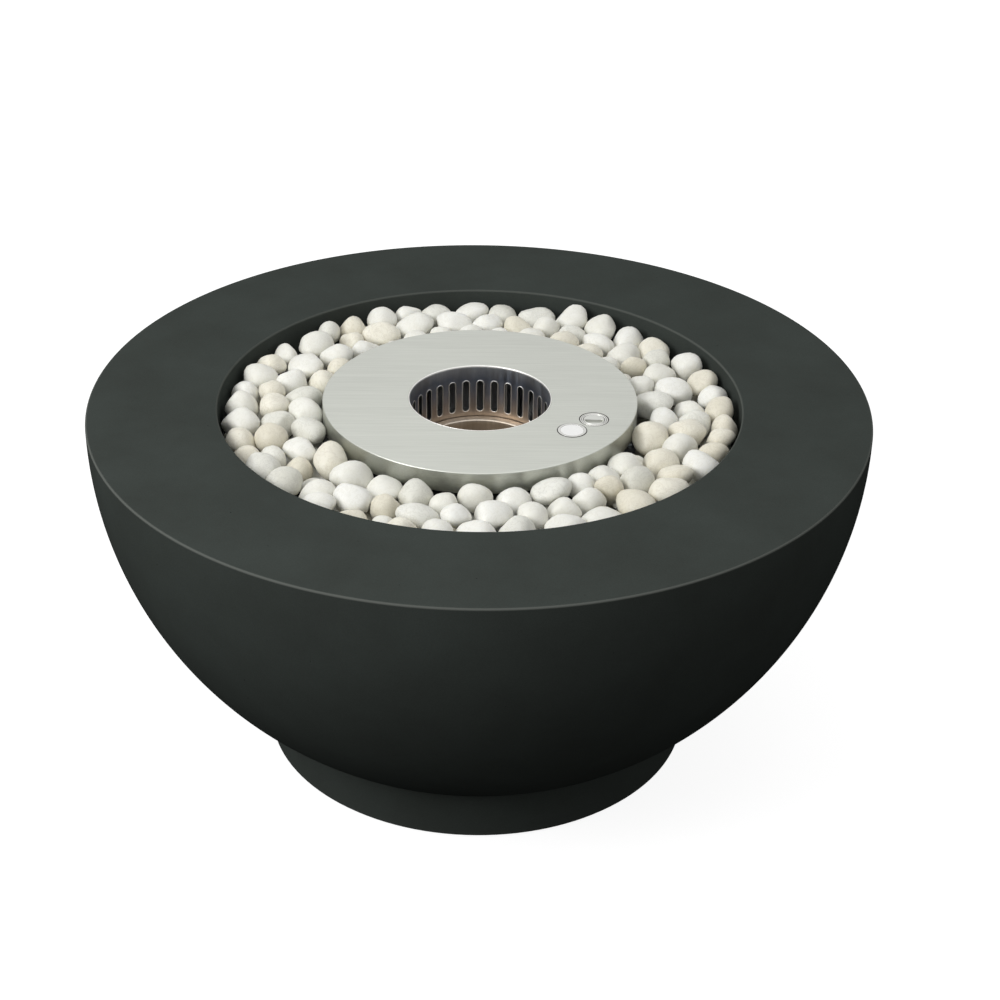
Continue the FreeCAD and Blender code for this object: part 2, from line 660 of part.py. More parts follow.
# Filler neck: a flanged tube in the plate, with the seat of the cap, a catch
# ring for the cap's latch, and a strainer that hangs in the fuel
NECK_END = PLATE_TOP + " - neck_length"
HEAD_SEAT = CAP_SEAT + " - rest_gap"
filler_neck = turned("filler_neck", [
    ("neck_radius", NECK_END),
    ("neck_radius + neck_wall", NECK_END),
    ("neck_radius + neck_wall", HEAD_SEAT + " - neck_wall"),
    ("filler_flange", HEAD_SEAT + " - neck_wall"),
    ("filler_flange", PLATE_TOP),
    ("cap_radius + rest_gap", PLATE_TOP),
    ("cap_radius + rest_gap", HEAD_SEAT),
    ("neck_radius", HEAD_SEAT),
])
bind(filler_neck, place_x=FILLER[0], place_y=FILLER[1])
named(filler_neck)

CATCH_TOP = PLUG_END + " - catch_space"
CATCH_UNDER = CATCH_TOP + " - catch_thickness"
LATCH_TOP = CATCH_UNDER + " - rest_gap"
LATCH_UNDER = LATCH_TOP + " - latch_thickness"
catch_blank = tube("catch_blank", "catch_radius", "neck_radius - fit_gap", CATCH_UNDER, CATCH_TOP, *FILLER)
notch = doc.addObject("Part::Box", "catch_notch")
NOTCH_REACH = "(neck_radius - catch_space + rest_gap)"
bind(notch, Length="2 * " + NOTCH_REACH, Width="latch_width + 2 * catch_space", Height="catch_thickness + 2")
bind(notch, place_x="%s - %s" % (FILLER[0], NOTCH_REACH), place_z=CATCH_UNDER + " - 1",
     place_y="%s - latch_width / 2 - catch_space" % FILLER[1])
named(cut("catch_ring", catch_blank, notch))

strainer = turned("neck_strainer", [
    (ON_AXIS, NECK_END + " - strainer_depth"),
    ("neck_radius - fit_gap", NECK_END + " - strainer_depth"),
    ("neck_radius - fit_gap", NECK_END + " + neck_wall"),
    ("neck_radius - neck_wall", NECK_END + " + neck_wall"),
    ("neck_radius - neck_wall", NECK_END + " - strainer_depth + neck_wall"),
    (ON_AXIS, NECK_END + " - strainer_depth + neck_wall"),
])


def strainer_slot(sketch):
    low = NECK_END + " - strainer_depth + neck_wall + neck_wall + neck_wall"
    high = NECK_END + " - neck_wall - neck_wall"
    slot_outline(sketch, "strainer_slot_end", low, high)


pierce_around(strainer, "strainer_slot", strainer_slot, "neck_radius + 1", "strainer_slot_count")
bind(strainer, place_x=FILLER[0], place_y=FILLER[1])
named(strainer)

# Filler cap: a head flush with the plate, a plug with a sealing ring, and in
# it the finger turn, whose stem carries the latch bar under the catch ring
RING_HEIGHT = CAP_SEAT + " - ring_drop"
RING_CIRCLE = "neck_radius - fit_gap - ring_section"
GROOVE_FLOOR = RING_CIRCLE + " - ring_section - fit_gap"
PLUG_RADIUS = "neck_radius - rest_gap"
TURN_UNDER = PLATE_TOP + " - turn_height"
filler_cap = turned("filler_cap", [
    ("stem_radius + fit_gap", PLUG_END),
    (PLUG_RADIUS, PLUG_END),
    (PLUG_RADIUS, RING_HEIGHT + " - ring_section - fit_gap"),
    (GROOVE_FLOOR, RING_HEIGHT + " - ring_section - fit_gap"),
    (GROOVE_FLOOR, RING_HEIGHT + " + ring_section + fit_gap"),
    (PLUG_RADIUS, RING_HEIGHT + " + ring_section + fit_gap"),
    (PLUG_RADIUS, CAP_SEAT),
    ("cap_radius", CAP_SEAT),
    ("cap_radius", PLATE_TOP),
    ("turn_radius + rest_gap", PLATE_TOP),
    ("turn_radius + rest_gap", TURN_UNDER + " - fit_gap"),
    ("stem_radius + fit_gap", TURN_UNDER + " - fit_gap"),
])
bind(filler_cap, place_x=FILLER[0], place_y=FILLER[1])
named(filler_cap)

cap_seal = doc.addObject("Part::Torus", "cap_seal")
bind(cap_seal, Radius1=RING_CIRCLE, Radius2="ring_section")
bind(cap_seal, place_x=FILLER[0], place_y=FILLER[1], place_z=RING_HEIGHT)
named(cap_seal)

STEM_END = LATCH_UNDER + " - latch_thickness"
turn_disc = cylinder("turn_disc", "turn_radius", TURN_UNDER, PLATE_TOP, *FILLER)
turn_stem = cylinder("turn_stem", "stem_radius", LATCH_TOP, TURN_UNDER, *FILLER)
turn_tip = cylinder("turn_tip", "stem_radius / 2", STEM_END, LATCH_TOP, *FILLER)
recess_round = cylinder("recess_round", "turn_radius - recess_rim", PLATE_TOP + " - recess_depth",
                        PLATE_TOP + " + 1", *FILLER)
recess_side = doc.addObject("Part::Box", "recess_side")
bind(recess_side, Length="2 * turn_radius", Width="turn_radius", Height="recess_depth + 1")
bind(recess_side, place_x="%s - turn_radius" % FILLER[0], place_z=PLATE_TOP + " - recess_depth",
     place_y="%s - recess_rim - turn_radius" % FILLER[1])
recess = doc.addObject("Part::Common", "finger_recess")
recess.Base = recess_round
recess.Tool = recess_side
named(cut("finger_turn", fuse("turn_blank", turn_disc, turn_stem, turn_tip), recess))

latch_blank = doc.addObject("Part::Box", "latch_blank")
bind(latch_blank, Length="2 * (neck_radius - catch_space)", Width="latch_width", Height="latch_thickness")
bind(latch_blank, place_x="%s - neck_radius + catch_space" % FILLER[0], place_z=LATCH_UNDER,
     place_y="%s - latch_width / 2" % FILLER[1])
latch_bore = cylinder("latch_bore", "stem_radius / 2 + fit_gap", LATCH_UNDER + " - 1", LATCH_TOP + " + 1",
                      *FILLER)
named(cut("latch_bar", latch_blank, latch_bore))
named(tube("latch_clip", "stem_radius / 2 + fit_gap", "stem_radius", STEM_END, LATCH_UNDER, *FILLER))

# Badge: a bright ring on the plate with a bare face inside it
named(tube("badge_ring", "badge_face", "badge_radius", PLATE_TOP, PLATE_TOP + " + badge_proud", *BADGE))
named(cylinder("badge_face_disc", "badge_face - fit_gap", PLATE_TOP, PLATE_TOP + " + badge_proud / 2",
               *BADGE))

# Pebbles: loose river stones in the tray, a lower layer on its floor and an
# upper one that fills the bed up to an even top, with small ones in the gaps
doc.recompute()
bed_floor = total(TRAY_FLOOR)
bed_top = bed_floor + total("bed_depth")
bed_inner = total("plate_radius + rest_gap")
bed_outer = total(TRAY_EDGE + " - tray_gauge - rest_gap")
touch = total("stone_gap")
FULL_TURN = 2 * math.pi
GOLDEN_TURN = FULL_TURN * (math.sqrt(5) - 1) / 2
STONE_SEED = 8
SHADE_SEED = 3
SHADES = {"pebbles_white": 6, "pebbles_cream": 3, "pebbles_grey": 2}

# A stone's breadth and thickness as shares of its length: while a layer is
# laid out, and then the least and most that its stones settle to
BREADTH = (0.74, 0.94)
LOWER_DRAFT, UPPER_DRAFT, SMALL_DRAFT = 0.6, 0.7, 0.6
LOWER_THICKNESS = (0.48, 0.58)
UPPER_THICKNESS = (0.45, 0.92)

# Laying a layer out. Squeeze is how far, in millimetres, a stone's neighbours
# press it in one sweep: a loose stone grows a step, and a tight one shrinks
ANGLE_SPREAD = 0.1
NEAR = 8
PRESS_SWEEPS = 200
PAIRING_SWEEPS = 8
RESIZING_SWEEPS = 4
LOOSE, TIGHT = 0.35, 1.2
GROWN, SHRUNK = 1.015, 0.985
PRESSED_SIZES = (0.8, 1.25)
FIT_SWEEPS = 16
MOST_GROWTH = 0.06
MOST_SHRINKAGE = 0.85
LARGEST_FIT = 1.35
FAR = 40 * touch

# Settling it: how often a stone is tried, and what it shrinks to each time
MOVES = 8
HALVINGS = 7
CLEAR_STEPS = 6
LOWER_TRIALS, UPPER_TRIALS, SMALL_TRIALS = 8, 12, 60
UPPER_PATIENCE = 2
SMALLER = 0.95
FLOOR_REACH = 3


class Stone:
    """A rounded stone by its half sizes, its turn, and the form that gives its reach."""

    def __init__(self, chance, smallest, largest, tip, draft):
        long = chance.uniform(total(smallest), total(largest))
        self.turn = FreeCAD.Rotation(chance.uniform(0, 360), chance.gauss(0, tip), chance.gauss(0, tip))
        self.axes = [self.turn.multVec(FreeCAD.Vector(*unit)) for unit in ((1, 0, 0), (0, 1, 0), (0, 0, 1))]
        self.shape(long, long * chance.uniform(*BREADTH), long * draft)
        self.place = (0, 0, 0)

    def shape(self, *halves):
        self.halves = halves

        def form(a, b):
            return sum(half * half * axis[a] * axis[b] for half, axis in zip(halves, self.axes))
        self.form = (form(0, 0), form(1, 1), form(2, 2), form(0, 1), form(0, 2), form(1, 2))
        self.low = math.sqrt(self.form[2])

    def scale(self, factor):
        self.shape(*(half * factor for half in self.halves))

    def thicken(self, half):
        self.shape(self.halves[0], self.halves[1], half)

    def keep_in(self):
        """Move the stone level until it clears the walls of the bed."""
        xx, yy, zz, xy, xz, yz = self.form
        x, y = self.place[:2]
        distance = math.hypot(x, y)
        side = math.sqrt(xx * x * x + 2 * xy * x * y + yy * y * y) / distance + touch
        factor = min(max(distance, bed_inner + side), bed_outer - side) / distance
        self.place = (x * factor, y * factor, 0)


def parting(one, other, x, y, z, steps, enough):
    """The widest gap found between two stones at an offset, its direction and their reach in it."""
    ax, ay, az, axy, axz, ayz = one.form
    bx, by, bz, bxy, bxz, byz = other.form
    share = 0.5
    best = (-bed_top, 0, 0, 1)
    for step in range(steps):
        rest = 1 - share
        xx, yy, zz = rest * ax + share * bx, rest * ay + share * by, rest * az + share * bz
        xy, xz, yz = rest * axy + share * bxy, rest * axz + share * bxz, rest * ayz + share * byz
        across, along, down = yy * zz - yz * yz, xz * yz - xy * zz, xy * yz - xz * yy
        slant = xy * xz - xx * yz
        size = xx * across + xy * along + xz * down
        px = (across * x + along * y + down * z) / size
        py = (along * x + (xx * zz - xz * xz) * y + slant * z) / size
        pz = (down * x + slant * y + (xx * yy - xy * xy) * z) / size
        near = math.sqrt(ax * px * px + ay * py * py + az * pz * pz
                         + 2 * (axy * px * py + axz * px * pz + ayz * py * pz))
        far = math.sqrt(bx * px * px + by * py * py + bz * pz * pz
                        + 2 * (bxy * px * py + bxz * px * pz + byz * py * pz))
        length = math.sqrt(px * px + py * py + pz * pz)
        gap = (px * x + py * y + pz * z - near - far) / length
        if gap > best[0]:
            best = (gap, px / length, py / length, (near + far) / length)
        if gap >= enough:
            break
        share = near / (near + far)
    return best


def neighbours(stones):
    """Pairs of stones that lie near enough to touch soon."""
    return [(one, other) for number, one in enumerate(stones) for other in stones[:number]
            if math.dist(one.place[:2], other.place[:2]) < one.halves[0] + other.halves[0] + NEAR]


def level_gap(one, other, steps, enough):
    return parting(one, other, one.place[0] - other.place[0], one.place[1] - other.place[1], 0, steps, enough)


def spread(stones, chance):
    """Lay one layer out: its stones press each other apart, and grow or shrink into their room."""
    for number, stone in enumerate(stones):
        reach = stone.halves[0]
        distance = math.sqrt(chance.uniform((bed_inner + reach) ** 2, (bed_outer - reach) ** 2))
        angle = number * GOLDEN_TURN + chance.uniform(-ANGLE_SPREAD, ANGLE_SPREAD)
        stone.place = (distance * math.cos(angle), distance * math.sin(angle), 0)
        stone.size = stone.halves[0]
    for sweep in range(PRESS_SWEEPS):
        if sweep % PAIRING_SWEEPS == 0:
            pairs = neighbours(stones)
        for stone in stones:
            stone.squeeze = 0
        for one, other in pairs:
            gap, x, y, reach = level_gap(one, other, 3, touch)
            if gap < touch:
                push = (touch - gap) / 2
                for stone, way in ((one, push), (other, -push)):
                    stone.place = (stone.place[0] + x * way, stone.place[1] + y * way, 0)
                    stone.squeeze += push
        for stone in stones:
            if sweep % RESIZING_SWEEPS == RESIZING_SWEEPS - 1:
                factor = GROWN if stone.squeeze < LOOSE else SHRUNK if stone.squeeze > TIGHT else 1
                if PRESSED_SIZES[0] < stone.halves[0] * factor / stone.size < PRESSED_SIZES[1]:
                    stone.scale(factor)
            stone.keep_in()
    for sweep in range(FIT_SWEEPS):
        for stone in stones:
            stone.room = MOST_GROWTH
        for one, other in neighbours(stones):
            gap, x, y, reach = level_gap(one, other, 5, FAR)
            for stone in (one, other):
                stone.room = min(stone.room, (gap - touch) / reach)
        for stone in stones:
            stone.scale(min(max(1 + stone.room, MOST_SHRINKAGE), LARGEST_FIT * stone.size / stone.halves[0]))
            stone.keep_in()


def settle(stone, settled):
    """Drop a stone to the lowest height at which it clears the tray and the others."""
    x, y = stone.place[:2]
    z = bed_floor + touch + stone.low
    near = [other for other in settled
            if math.dist((x, y), other.place[:2]) < stone.halves[0] + other.halves[0]]

    def clears(other, height):
        offset = (x - other.place[0], y - other.place[1], height - other.place[2])
        return parting(stone, other, *offset, CLEAR_STEPS, touch)[0] >= touch

    for again in range(MOVES):
        moved = False
        for other in near:
            if abs(z - other.place[2]) > stone.low + other.low + touch or clears(other, z):
                continue
            held = z
            z = other.place[2] + stone.low + other.low + touch
            for halving in range(HALVINGS):
                middle = (held + z) / 2
                if clears(other, middle):
                    z = middle
                else:
                    held = middle
            moved = True
        if not moved:
            break
    stone.place = (x, y, z)
    return not moved and z + stone.low <= bed_top


def fill_bed():
    """Fill the bed in two layers, then drop small stones in the gaps between them."""
    chance = random.Random(STONE_SEED)
    tip = total("stone_tip")
    settled = []

    lower = [Stone(chance, "stone_short", "stone_long", tip / 2, LOWER_DRAFT)
             for number in range(int(total("lower_stones")))]
    spread(lower, chance)
    for stone in lower:
        stone.thicken(stone.halves[0] * chance.uniform(*LOWER_THICKNESS))
        for trial in range(LOWER_TRIALS):
            if settle(stone, settled) and stone.place[2] - stone.low < bed_floor + FLOOR_REACH:
                settled.append(stone)
                break
            stone.scale(SMALLER)

    upper = [Stone(chance, "stone_short", "stone_long", tip, UPPER_DRAFT)
             for number in range(int(total("upper_stones")))]
    spread(upper, chance)
    for stone in upper:
        crown = bed_top - chance.uniform(0, total("bed_ripple"))
        for trial in range(UPPER_TRIALS):
            settle(stone, settled)
            half = (crown - stone.place[2] + stone.low) / 2 * stone.halves[2] / stone.low
            thinnest, thickest = (stone.halves[0] * share for share in UPPER_THICKNESS)
            stone.thicken(min(max(half, thinnest), thickest))
            if settle(stone, settled):
                settled.append(stone)
                break
            if trial > UPPER_PATIENCE:
                stone.scale(SMALLER)

    for number in range(int(total("small_stones"))):
        stone = Stone(chance, "small_short", "small_long", tip, SMALL_DRAFT)
        places = []
        for trial in range(SMALL_TRIALS):
            distance = chance.uniform(bed_inner + stone.halves[0], bed_outer - stone.halves[0])
            angle = chance.uniform(0, FULL_TURN)
            stone.place = (distance * math.cos(angle), distance * math.sin(angle), 0)
            if settle(stone, settled) and stone.place[2] + stone.low < bed_top - total("small_sunk"):
                places.append(stone.place)
        if places:
            stone.place = min(places, key=lambda place: place[2])
            settled.append(stone)
    return settled


def stone_solid(stone):
    """A rounded stone as a ball stretched along its axes."""
    stretch = FreeCAD.Matrix()
    stretch.scale(*stone.halves)
    solid = Part.makeSphere(1).transformGeometry(stretch)
    solid.Placement = FreeCAD.Placement(FreeCAD.Vector(*stone.place), stone.turn)
    return solid


shades = random.Random(SHADE_SEED)
piles = {name: [] for name in SHADES}
for stone in fill_bed():
    shade = shades.choices(list(SHADES), list(SHADES.values()))[0]
    piles[shade].append(stone_solid(stone))
for name, stones in piles.items():
    pile = doc.addObject("Part::Feature", name)
    pile.Shape = Part.makeCompound(stones)
    pile.Placement = FreeCAD.Placement()
    named(pile)

doc.recompute()
for thing in doc.Objects:
    if "Invalid" in thing.State or "Error" in thing.State:
        raise ValueError("%s failed: %s" % (thing.Name, thing.State))
os.makedirs("parts", exist_ok=True)
for part in PARTS:
    if part.Shape.isNull() or not part.Shape.isValid():
        raise ValueError(part.Label + " has no sound shape")
    part.Shape.exportStep("parts/%s.step" % part.Label)
    print(part.Label, len(part.Shape.Solids), "solids", round(part.Shape.Volume), "mm3")
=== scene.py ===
import math

import bmesh
import bpy
import numpy as np
from mathutils import Matrix, Vector


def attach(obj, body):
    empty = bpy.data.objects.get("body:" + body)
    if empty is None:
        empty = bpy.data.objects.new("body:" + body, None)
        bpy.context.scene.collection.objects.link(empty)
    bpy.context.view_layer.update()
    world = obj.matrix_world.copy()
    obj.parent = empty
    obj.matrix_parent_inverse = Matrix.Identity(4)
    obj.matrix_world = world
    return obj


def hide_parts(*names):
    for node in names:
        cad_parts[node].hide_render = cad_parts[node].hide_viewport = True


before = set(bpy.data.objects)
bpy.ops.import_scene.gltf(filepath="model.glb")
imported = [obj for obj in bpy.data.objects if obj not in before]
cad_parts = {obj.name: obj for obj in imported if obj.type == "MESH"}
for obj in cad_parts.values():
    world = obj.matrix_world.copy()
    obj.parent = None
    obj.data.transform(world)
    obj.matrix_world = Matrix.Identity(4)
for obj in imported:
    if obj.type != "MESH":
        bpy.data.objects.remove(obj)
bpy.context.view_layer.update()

scene = bpy.context.scene


# Camera: in front of the bowl and a little above it, looking 30 degrees down
# through a long lens, turned and rolled by less than a degree.
PITCH = math.radians(29.878)
YAW = math.radians(0.656)
ROLL = math.radians(0.9145)
LENS = 76.02
SENSOR_WIDTH = 36
CAMERA_PLACE = (0, -2.429027, 1.733661)
ahead = Vector((math.sin(YAW) * math.cos(PITCH), math.cos(YAW) * math.cos(PITCH), -math.sin(PITCH)))
level = ahead.cross(Vector((0, 0, 1))).normalized()
upright = level.cross(ahead)
right = level * math.cos(ROLL) + upright * math.sin(ROLL)
above = upright * math.cos(ROLL) - level * math.sin(ROLL)
camera = bpy.data.objects.new("camera", bpy.data.cameras.new("camera"))
camera.data.lens = LENS
camera.data.sensor_width = SENSOR_WIDTH
camera.matrix_world = (Matrix.Translation(CAMERA_PLACE)
                       @ Matrix((right, above, -ahead)).transposed().to_4x4())
scene.collection.objects.link(camera)
scene.camera = camera


# Light: a white studio. A wide lamp stands at the left in front, a softer one
# hangs overhead, and the room itself is dim so that the right side stays dark.
scene.view_settings.view_transform = "Standard"


def add(tree, kind, feeds=None, **settings):
    """Add a node: its settings, and for each input either a value or the output that feeds it."""
    node = tree.nodes.new(kind)
    for name, value in settings.items():
        setattr(node, name, value)
    for socket, value in (feeds or {}).items():
        if isinstance(value, bpy.types.NodeSocket):
            tree.links.new(value, node.inputs[socket])
        else:
            node.inputs[socket].default_value = value
    return node


def colour(code):
    """An sRGB hex colour as linear light."""
    parts = [int(code[i:i + 2], 16) / 255 for i in (1, 3, 5)]
    return (*[c / 12.92 if c <= 0.04045 else ((c + 0.055) / 1.055) ** 2.4 for c in parts], 1)


def maths(tree, operation, *values):
    """One step of arithmetic on numbers."""
    return add(tree, "ShaderNodeMath", dict(enumerate(values)), operation=operation).outputs[0]


def seen_directly(tree):
    """1 for what the camera sees straight, mirrored or through glass, and 0 for the light it gives."""
    ray = add(tree, "ShaderNodeLightPath").outputs
    direct = maths(tree, "MAXIMUM", ray["Is Camera Ray"], ray["Is Glossy Ray"])
    return maths(tree, "MAXIMUM", direct, ray["Is Transmission Ray"])


WHITE = colour("#FFFFFF")
ROOM_LIGHT = 0.38
world = bpy.data.worlds.new("studio")
world.use_nodes = True
tree = world.node_tree
tree.nodes.clear()
room = add(tree, "ShaderNodeBackground", {"Color": WHITE, "Strength": ROOM_LIGHT})
backdrop = add(tree, "ShaderNodeBackground", {"Color": WHITE, "Strength": 1})
mixed = add(tree, "ShaderNodeMixShader",
            {0: seen_directly(tree), 1: room.outputs[0], 2: backdrop.outputs[0]})
add(tree, "ShaderNodeOutputWorld", {"Surface": mixed.outputs[0]})
scene.world = world


def lamp(name, place, aim, size, power):
    """A square soft lamp at a place, aimed at a point."""
    light = bpy.data.lights.new(name, "AREA")
    light.size = size
    light.energy = power
    thing = bpy.data.objects.new(name, light)
    thing.location = place
    thing.rotation_mode = "QUATERNION"
    thing.rotation_quaternion = (Vector(aim) - Vector(place)).to_track_quat("-Z", "Y")
    scene.collection.objects.link(thing)


lamp("key_lamp", place=(-2.85, -2.0, 2.8), aim=(0, 0, 0.35), size=1.9, power=96)
lamp("top_lamp", place=(-0.3, 0.3, 3.2), aim=(0, 0, 0.4), size=5, power=48)


# Floor: a pale seamless sheet. It looks white and keeps a faint shadow, and
# throws little light back up at the underside of the bowl.
def vectors(tree, operation, *values):
    """One step of arithmetic on vectors."""
    outputs = add(tree, "ShaderNodeVectorMath", dict(enumerate(values)), operation=operation).outputs
    return outputs["Value" if operation in ("LENGTH", "DOT_PRODUCT") else "Vector"]


def ranged(tree, value, low, high, start=0.3, end=0.7):
    """A value that runs from start to end, spread over low to high and held there."""
    return add(tree, "ShaderNodeMapRange", {"Value": value, "From Min": start, "From Max": end,
                                            "To Min": low, "To Max": high}).outputs[0]


FLOOR_REACH = 30
# The sheet's glow rises to full white between these distances from the middle.
WHITE_FROM, WHITE_TO = 1.0, 6.0
floor = bpy.data.objects.new("floor", bpy.data.meshes.new("floor"))
floor.data.from_pydata([(x, y, 0) for x, y in ((-1, -1), (1, -1), (1, 1), (-1, 1))], [], [(0, 1, 2, 3)])
floor.data.transform(Matrix.Scale(FLOOR_REACH, 4))
scene.collection.objects.link(floor)
paper = bpy.data.materials.new("white_paper_sweep")
paper.use_nodes = True
tree = paper.node_tree
tree.nodes.clear()
sheet = add(tree, "ShaderNodeBsdfDiffuse", {"Color": colour("#909090")})
distance = vectors(tree, "LENGTH", add(tree, "ShaderNodeTexCoord").outputs["Object"])
glow = add(tree, "ShaderNodeEmission", {"Color": WHITE,
                                        "Strength": ranged(tree, distance, 0.9, 1.0, WHITE_FROM, WHITE_TO)})
lifted = add(tree, "ShaderNodeAddShader", {0: sheet.outputs[0], 1: glow.outputs[0]})
dim_sheet = add(tree, "ShaderNodeBsdfDiffuse", {"Color": colour("#363636")})
mixed = add(tree, "ShaderNodeMixShader", {0: seen_directly(tree), 1: dim_sheet.outputs[0],
                                          2: lifted.outputs[0]})
add(tree, "ShaderNodeOutputMaterial", {"Surface": mixed.outputs[0]})
floor.data.materials.append(paper)


# Bowl: one casting of charcoal fluid concrete, ball-shaped outside, with a flat
# rim, a lip turned down into the opening and a ledge for the pebble tray.
MM = 0.001
# Lengths of shapes, in millimetres.
RIM_RADIUS = 502.5
RIM_TOP = 490.0
BALL_CENTRE = 481.0
SHELL_WALL = 18.0
LIP_RADIUS = 337.0
LEDGE_TOP = 414.0
LEDGE_RADIUS = 313.0
LEDGE_UNDER = 398.0
LIP_OUTSIDE = 355.0
RIM_UNDER = 470.0
FLOOR_UNDER = 60.0
FLOOR_TOP = 84.0
DRAIN_RADIUS = 16.0
BOLT_COUNT = 6
BOLT_CIRCLE = 256.0
BOLT_HOLE = 6.0
EASED_EDGE = 2.5
SMALL_EDGE = 1.0
# How far the cutter of a bolt hole reaches past the floor.
BOLT_OVERSHOOT = 5.0
# Steps along the ball outside and inside, round a large piece and round a bolt hole.
OUTSIDE_STEPS = 60
INSIDE_STEPS = 50
LARGE_STEPS = 256
BOLT_STEPS = 24


def rounded(corners, steps=6):
    """A profile from corners of radius, height and rounding, with each rounding drawn as an arc."""
    profile = []
    for number, (x, z, rounding) in enumerate(corners):
        corner = Vector((x, z))
        if not rounding:
            profile.append(corner)
            continue
        before = Vector(corners[number - 1][:2]) - corner
        after = Vector(corners[(number + 1) % len(corners)][:2]) - corner
        before_way = before.normalized()
        after_way = after.normalized()
        half = before_way.angle(after_way) / 2
        run = rounding / math.tan(half)
        middle = corner + (before_way + after_way).normalized() * (rounding / math.sin(half))
        start = corner + before_way * run - middle
        sweep = start.angle_signed(corner + after_way * run - middle)
        # A point just off each end of an arc keeps the flats beside it evenly shaded.
        hold = 0.25 * rounding
        if before.length > run + 2 * hold:
            profile.append(corner + before_way * (run + hold))
        for step in range(steps + 1):
            turn = -sweep * step / steps
            profile.append(middle + Matrix.Rotation(turn, 2) @ start)
        if after.length > run + 2 * hold:
            profile.append(corner + after_way * (run + hold))
    return profile


def arc(centre, radius, low, high, steps):
    """Corners along a ball about the axis, from one height to another."""
    start = math.asin((low - centre) / radius)
    end = math.asin((high - centre) / radius)
    turns = [start + (end - start) * step / steps for step in range(steps + 1)]
    return [(radius * math.cos(turn), centre + radius * math.sin(turn), 0) for turn in turns]


def mesh_piece(name, points, faces):
    """A smooth-shaded object from points in millimetres and faces."""
    mesh = bpy.data.meshes.new(name)
    mesh.from_pydata([(x * MM, y * MM, z * MM) for x, y, z in points], [], faces)
    mesh.shade_smooth()
    piece = bpy.data.objects.new(name, mesh)
    scene.collection.objects.link(piece)
    return piece


def turned(name, profile, segments, centre=(0, 0)):
    """A piece turned about an upright axis from a closed profile that runs anticlockwise."""
    rings = []
    points = []
    for x, z in profile:
        on_axis = abs(x) < 1e-6
        rings.append([len(points)] * segments if on_axis
                     else list(range(len(points), len(points) + segments)))
        for step in range(1 if on_axis else segments):
            angle = 2 * math.pi * step / segments
            points.append((centre[0] + x * math.cos(angle), centre[1] + x * math.sin(angle), z))
    faces = []
    for number, ring in enumerate(rings):
        after = rings[(number + 1) % len(rings)]
        for step in range(segments):
            nxt = (step + 1) % segments
            corners = [ring[step], ring[nxt], after[nxt], after[step]]
            face = [corner for place, corner in enumerate(corners) if corner != corners[place - 1]]
            if len(face) > 2:
                faces.append(face)
    return mesh_piece(name, points, faces)


def rod(name, radius, low, high, segments, centre=(0, 0)):
    """A round rod along an upright axis."""
    return turned(name, [(0, low), (radius, low), (radius, high), (0, high)], segments, centre)


def made_plain(piece):
    """Turn what a piece's modifiers give into its own mesh."""
    ready = bpy.data.meshes.new_from_object(piece.evaluated_get(bpy.context.evaluated_depsgraph_get()))
    piece.modifiers.clear()
    piece.data = ready
    return piece


# Anything smaller than a sliver and any hole with so few sides is left over from a
# cut, and a bend sharper than this is an edge.
SLIVER = 0.002 * MM
HOLE_SIDES = 4
CRISP = math.radians(40)


def cut_with(piece, cutters):
    """Take the cutters' shapes out of a piece, and keep the edges of the cuts crisp."""
    for cutter in cutters:
        modifier = piece.modifiers.new("cut", "BOOLEAN")
        modifier.object = cutter
        modifier.solver = "EXACT"
    made_plain(piece)
    shape = bmesh.new()
    shape.from_mesh(piece.data)
    bmesh.ops.dissolve_degenerate(shape, dist=SLIVER, edges=shape.edges)
    bmesh.ops.holes_fill(shape, edges=[edge for edge in shape.edges if edge.is_boundary],
                         sides=HOLE_SIDES)
    shape.to_mesh(piece.data)
    shape.free()
    piece.data.set_sharp_from_angle(angle=CRISP)
    for cutter in cutters:
        bpy.data.objects.remove(cutter)
    return piece


def dress(piece, material, body, slot, *nodes):
    """Give a new piece its material and its body, and let it stand for CAD nodes; the slot is not used."""
    piece.data.materials.clear()
    piece.data.materials.append(material)
    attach(piece, body)
    if nodes:
        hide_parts(*nodes)


def principled(name, **sockets):
    """A new material with its surface shader and the piece's own coordinates."""
    material = bpy.data.materials.new(name)
    material.use_nodes = True
    tree = material.node_tree
    tree.nodes.clear()
    shader = add(tree, "ShaderNodeBsdfPrincipled",
                 {key.replace("_", " "): value for key, value in sockets.items()})
    add(tree, "ShaderNodeOutputMaterial", {"Surface": shader.outputs[0]})
    place = add(tree, "ShaderNodeTexCoord").outputs["Object"]
    return material, tree, shader, place


def noise(tree, place, size, detail, roughness=0.5, lot=None, distortion=0.0):
    """A cloudy pattern with clouds of one size; a lot number gives each piece its own."""
    feeds = {"Vector": place, "Scale": 1 / size, "Detail": detail, "Roughness": roughness,
             "Distortion": distortion}
    if lot is not None:
        feeds["W"] = lot
    dimensions = "3D" if lot is None else "4D"
    return add(tree, "ShaderNodeTexNoise", feeds, noise_dimensions=dimensions).outputs["Fac"]


def blended(tree, share, first, second):
    """A mix of two colours."""
    return add(tree, "ShaderNodeMix", {"Factor": share, "A": first, "B": second},
               data_type="RGBA").outputs["Result"]


def scaled(tree, vector, factor):
    """A vector or a colour times a number."""
    return add(tree, "ShaderNodeVectorMath", {0: vector, "Scale": factor}, operation="SCALE").outputs[0]


def off_axis(tree, place):
    """How far a place is from the upright axis."""
    return vectors(tree, "LENGTH", vectors(tree, "MULTIPLY", place, (1, 1, 0)))


def bumped(tree, pattern, depth, strength, **under):
    """A pattern as small dents, over any dents under it."""
    return add(tree, "ShaderNodeBump",
               {"Height": pattern, "Distance": depth, "Strength": strength, **under}).outputs[0]


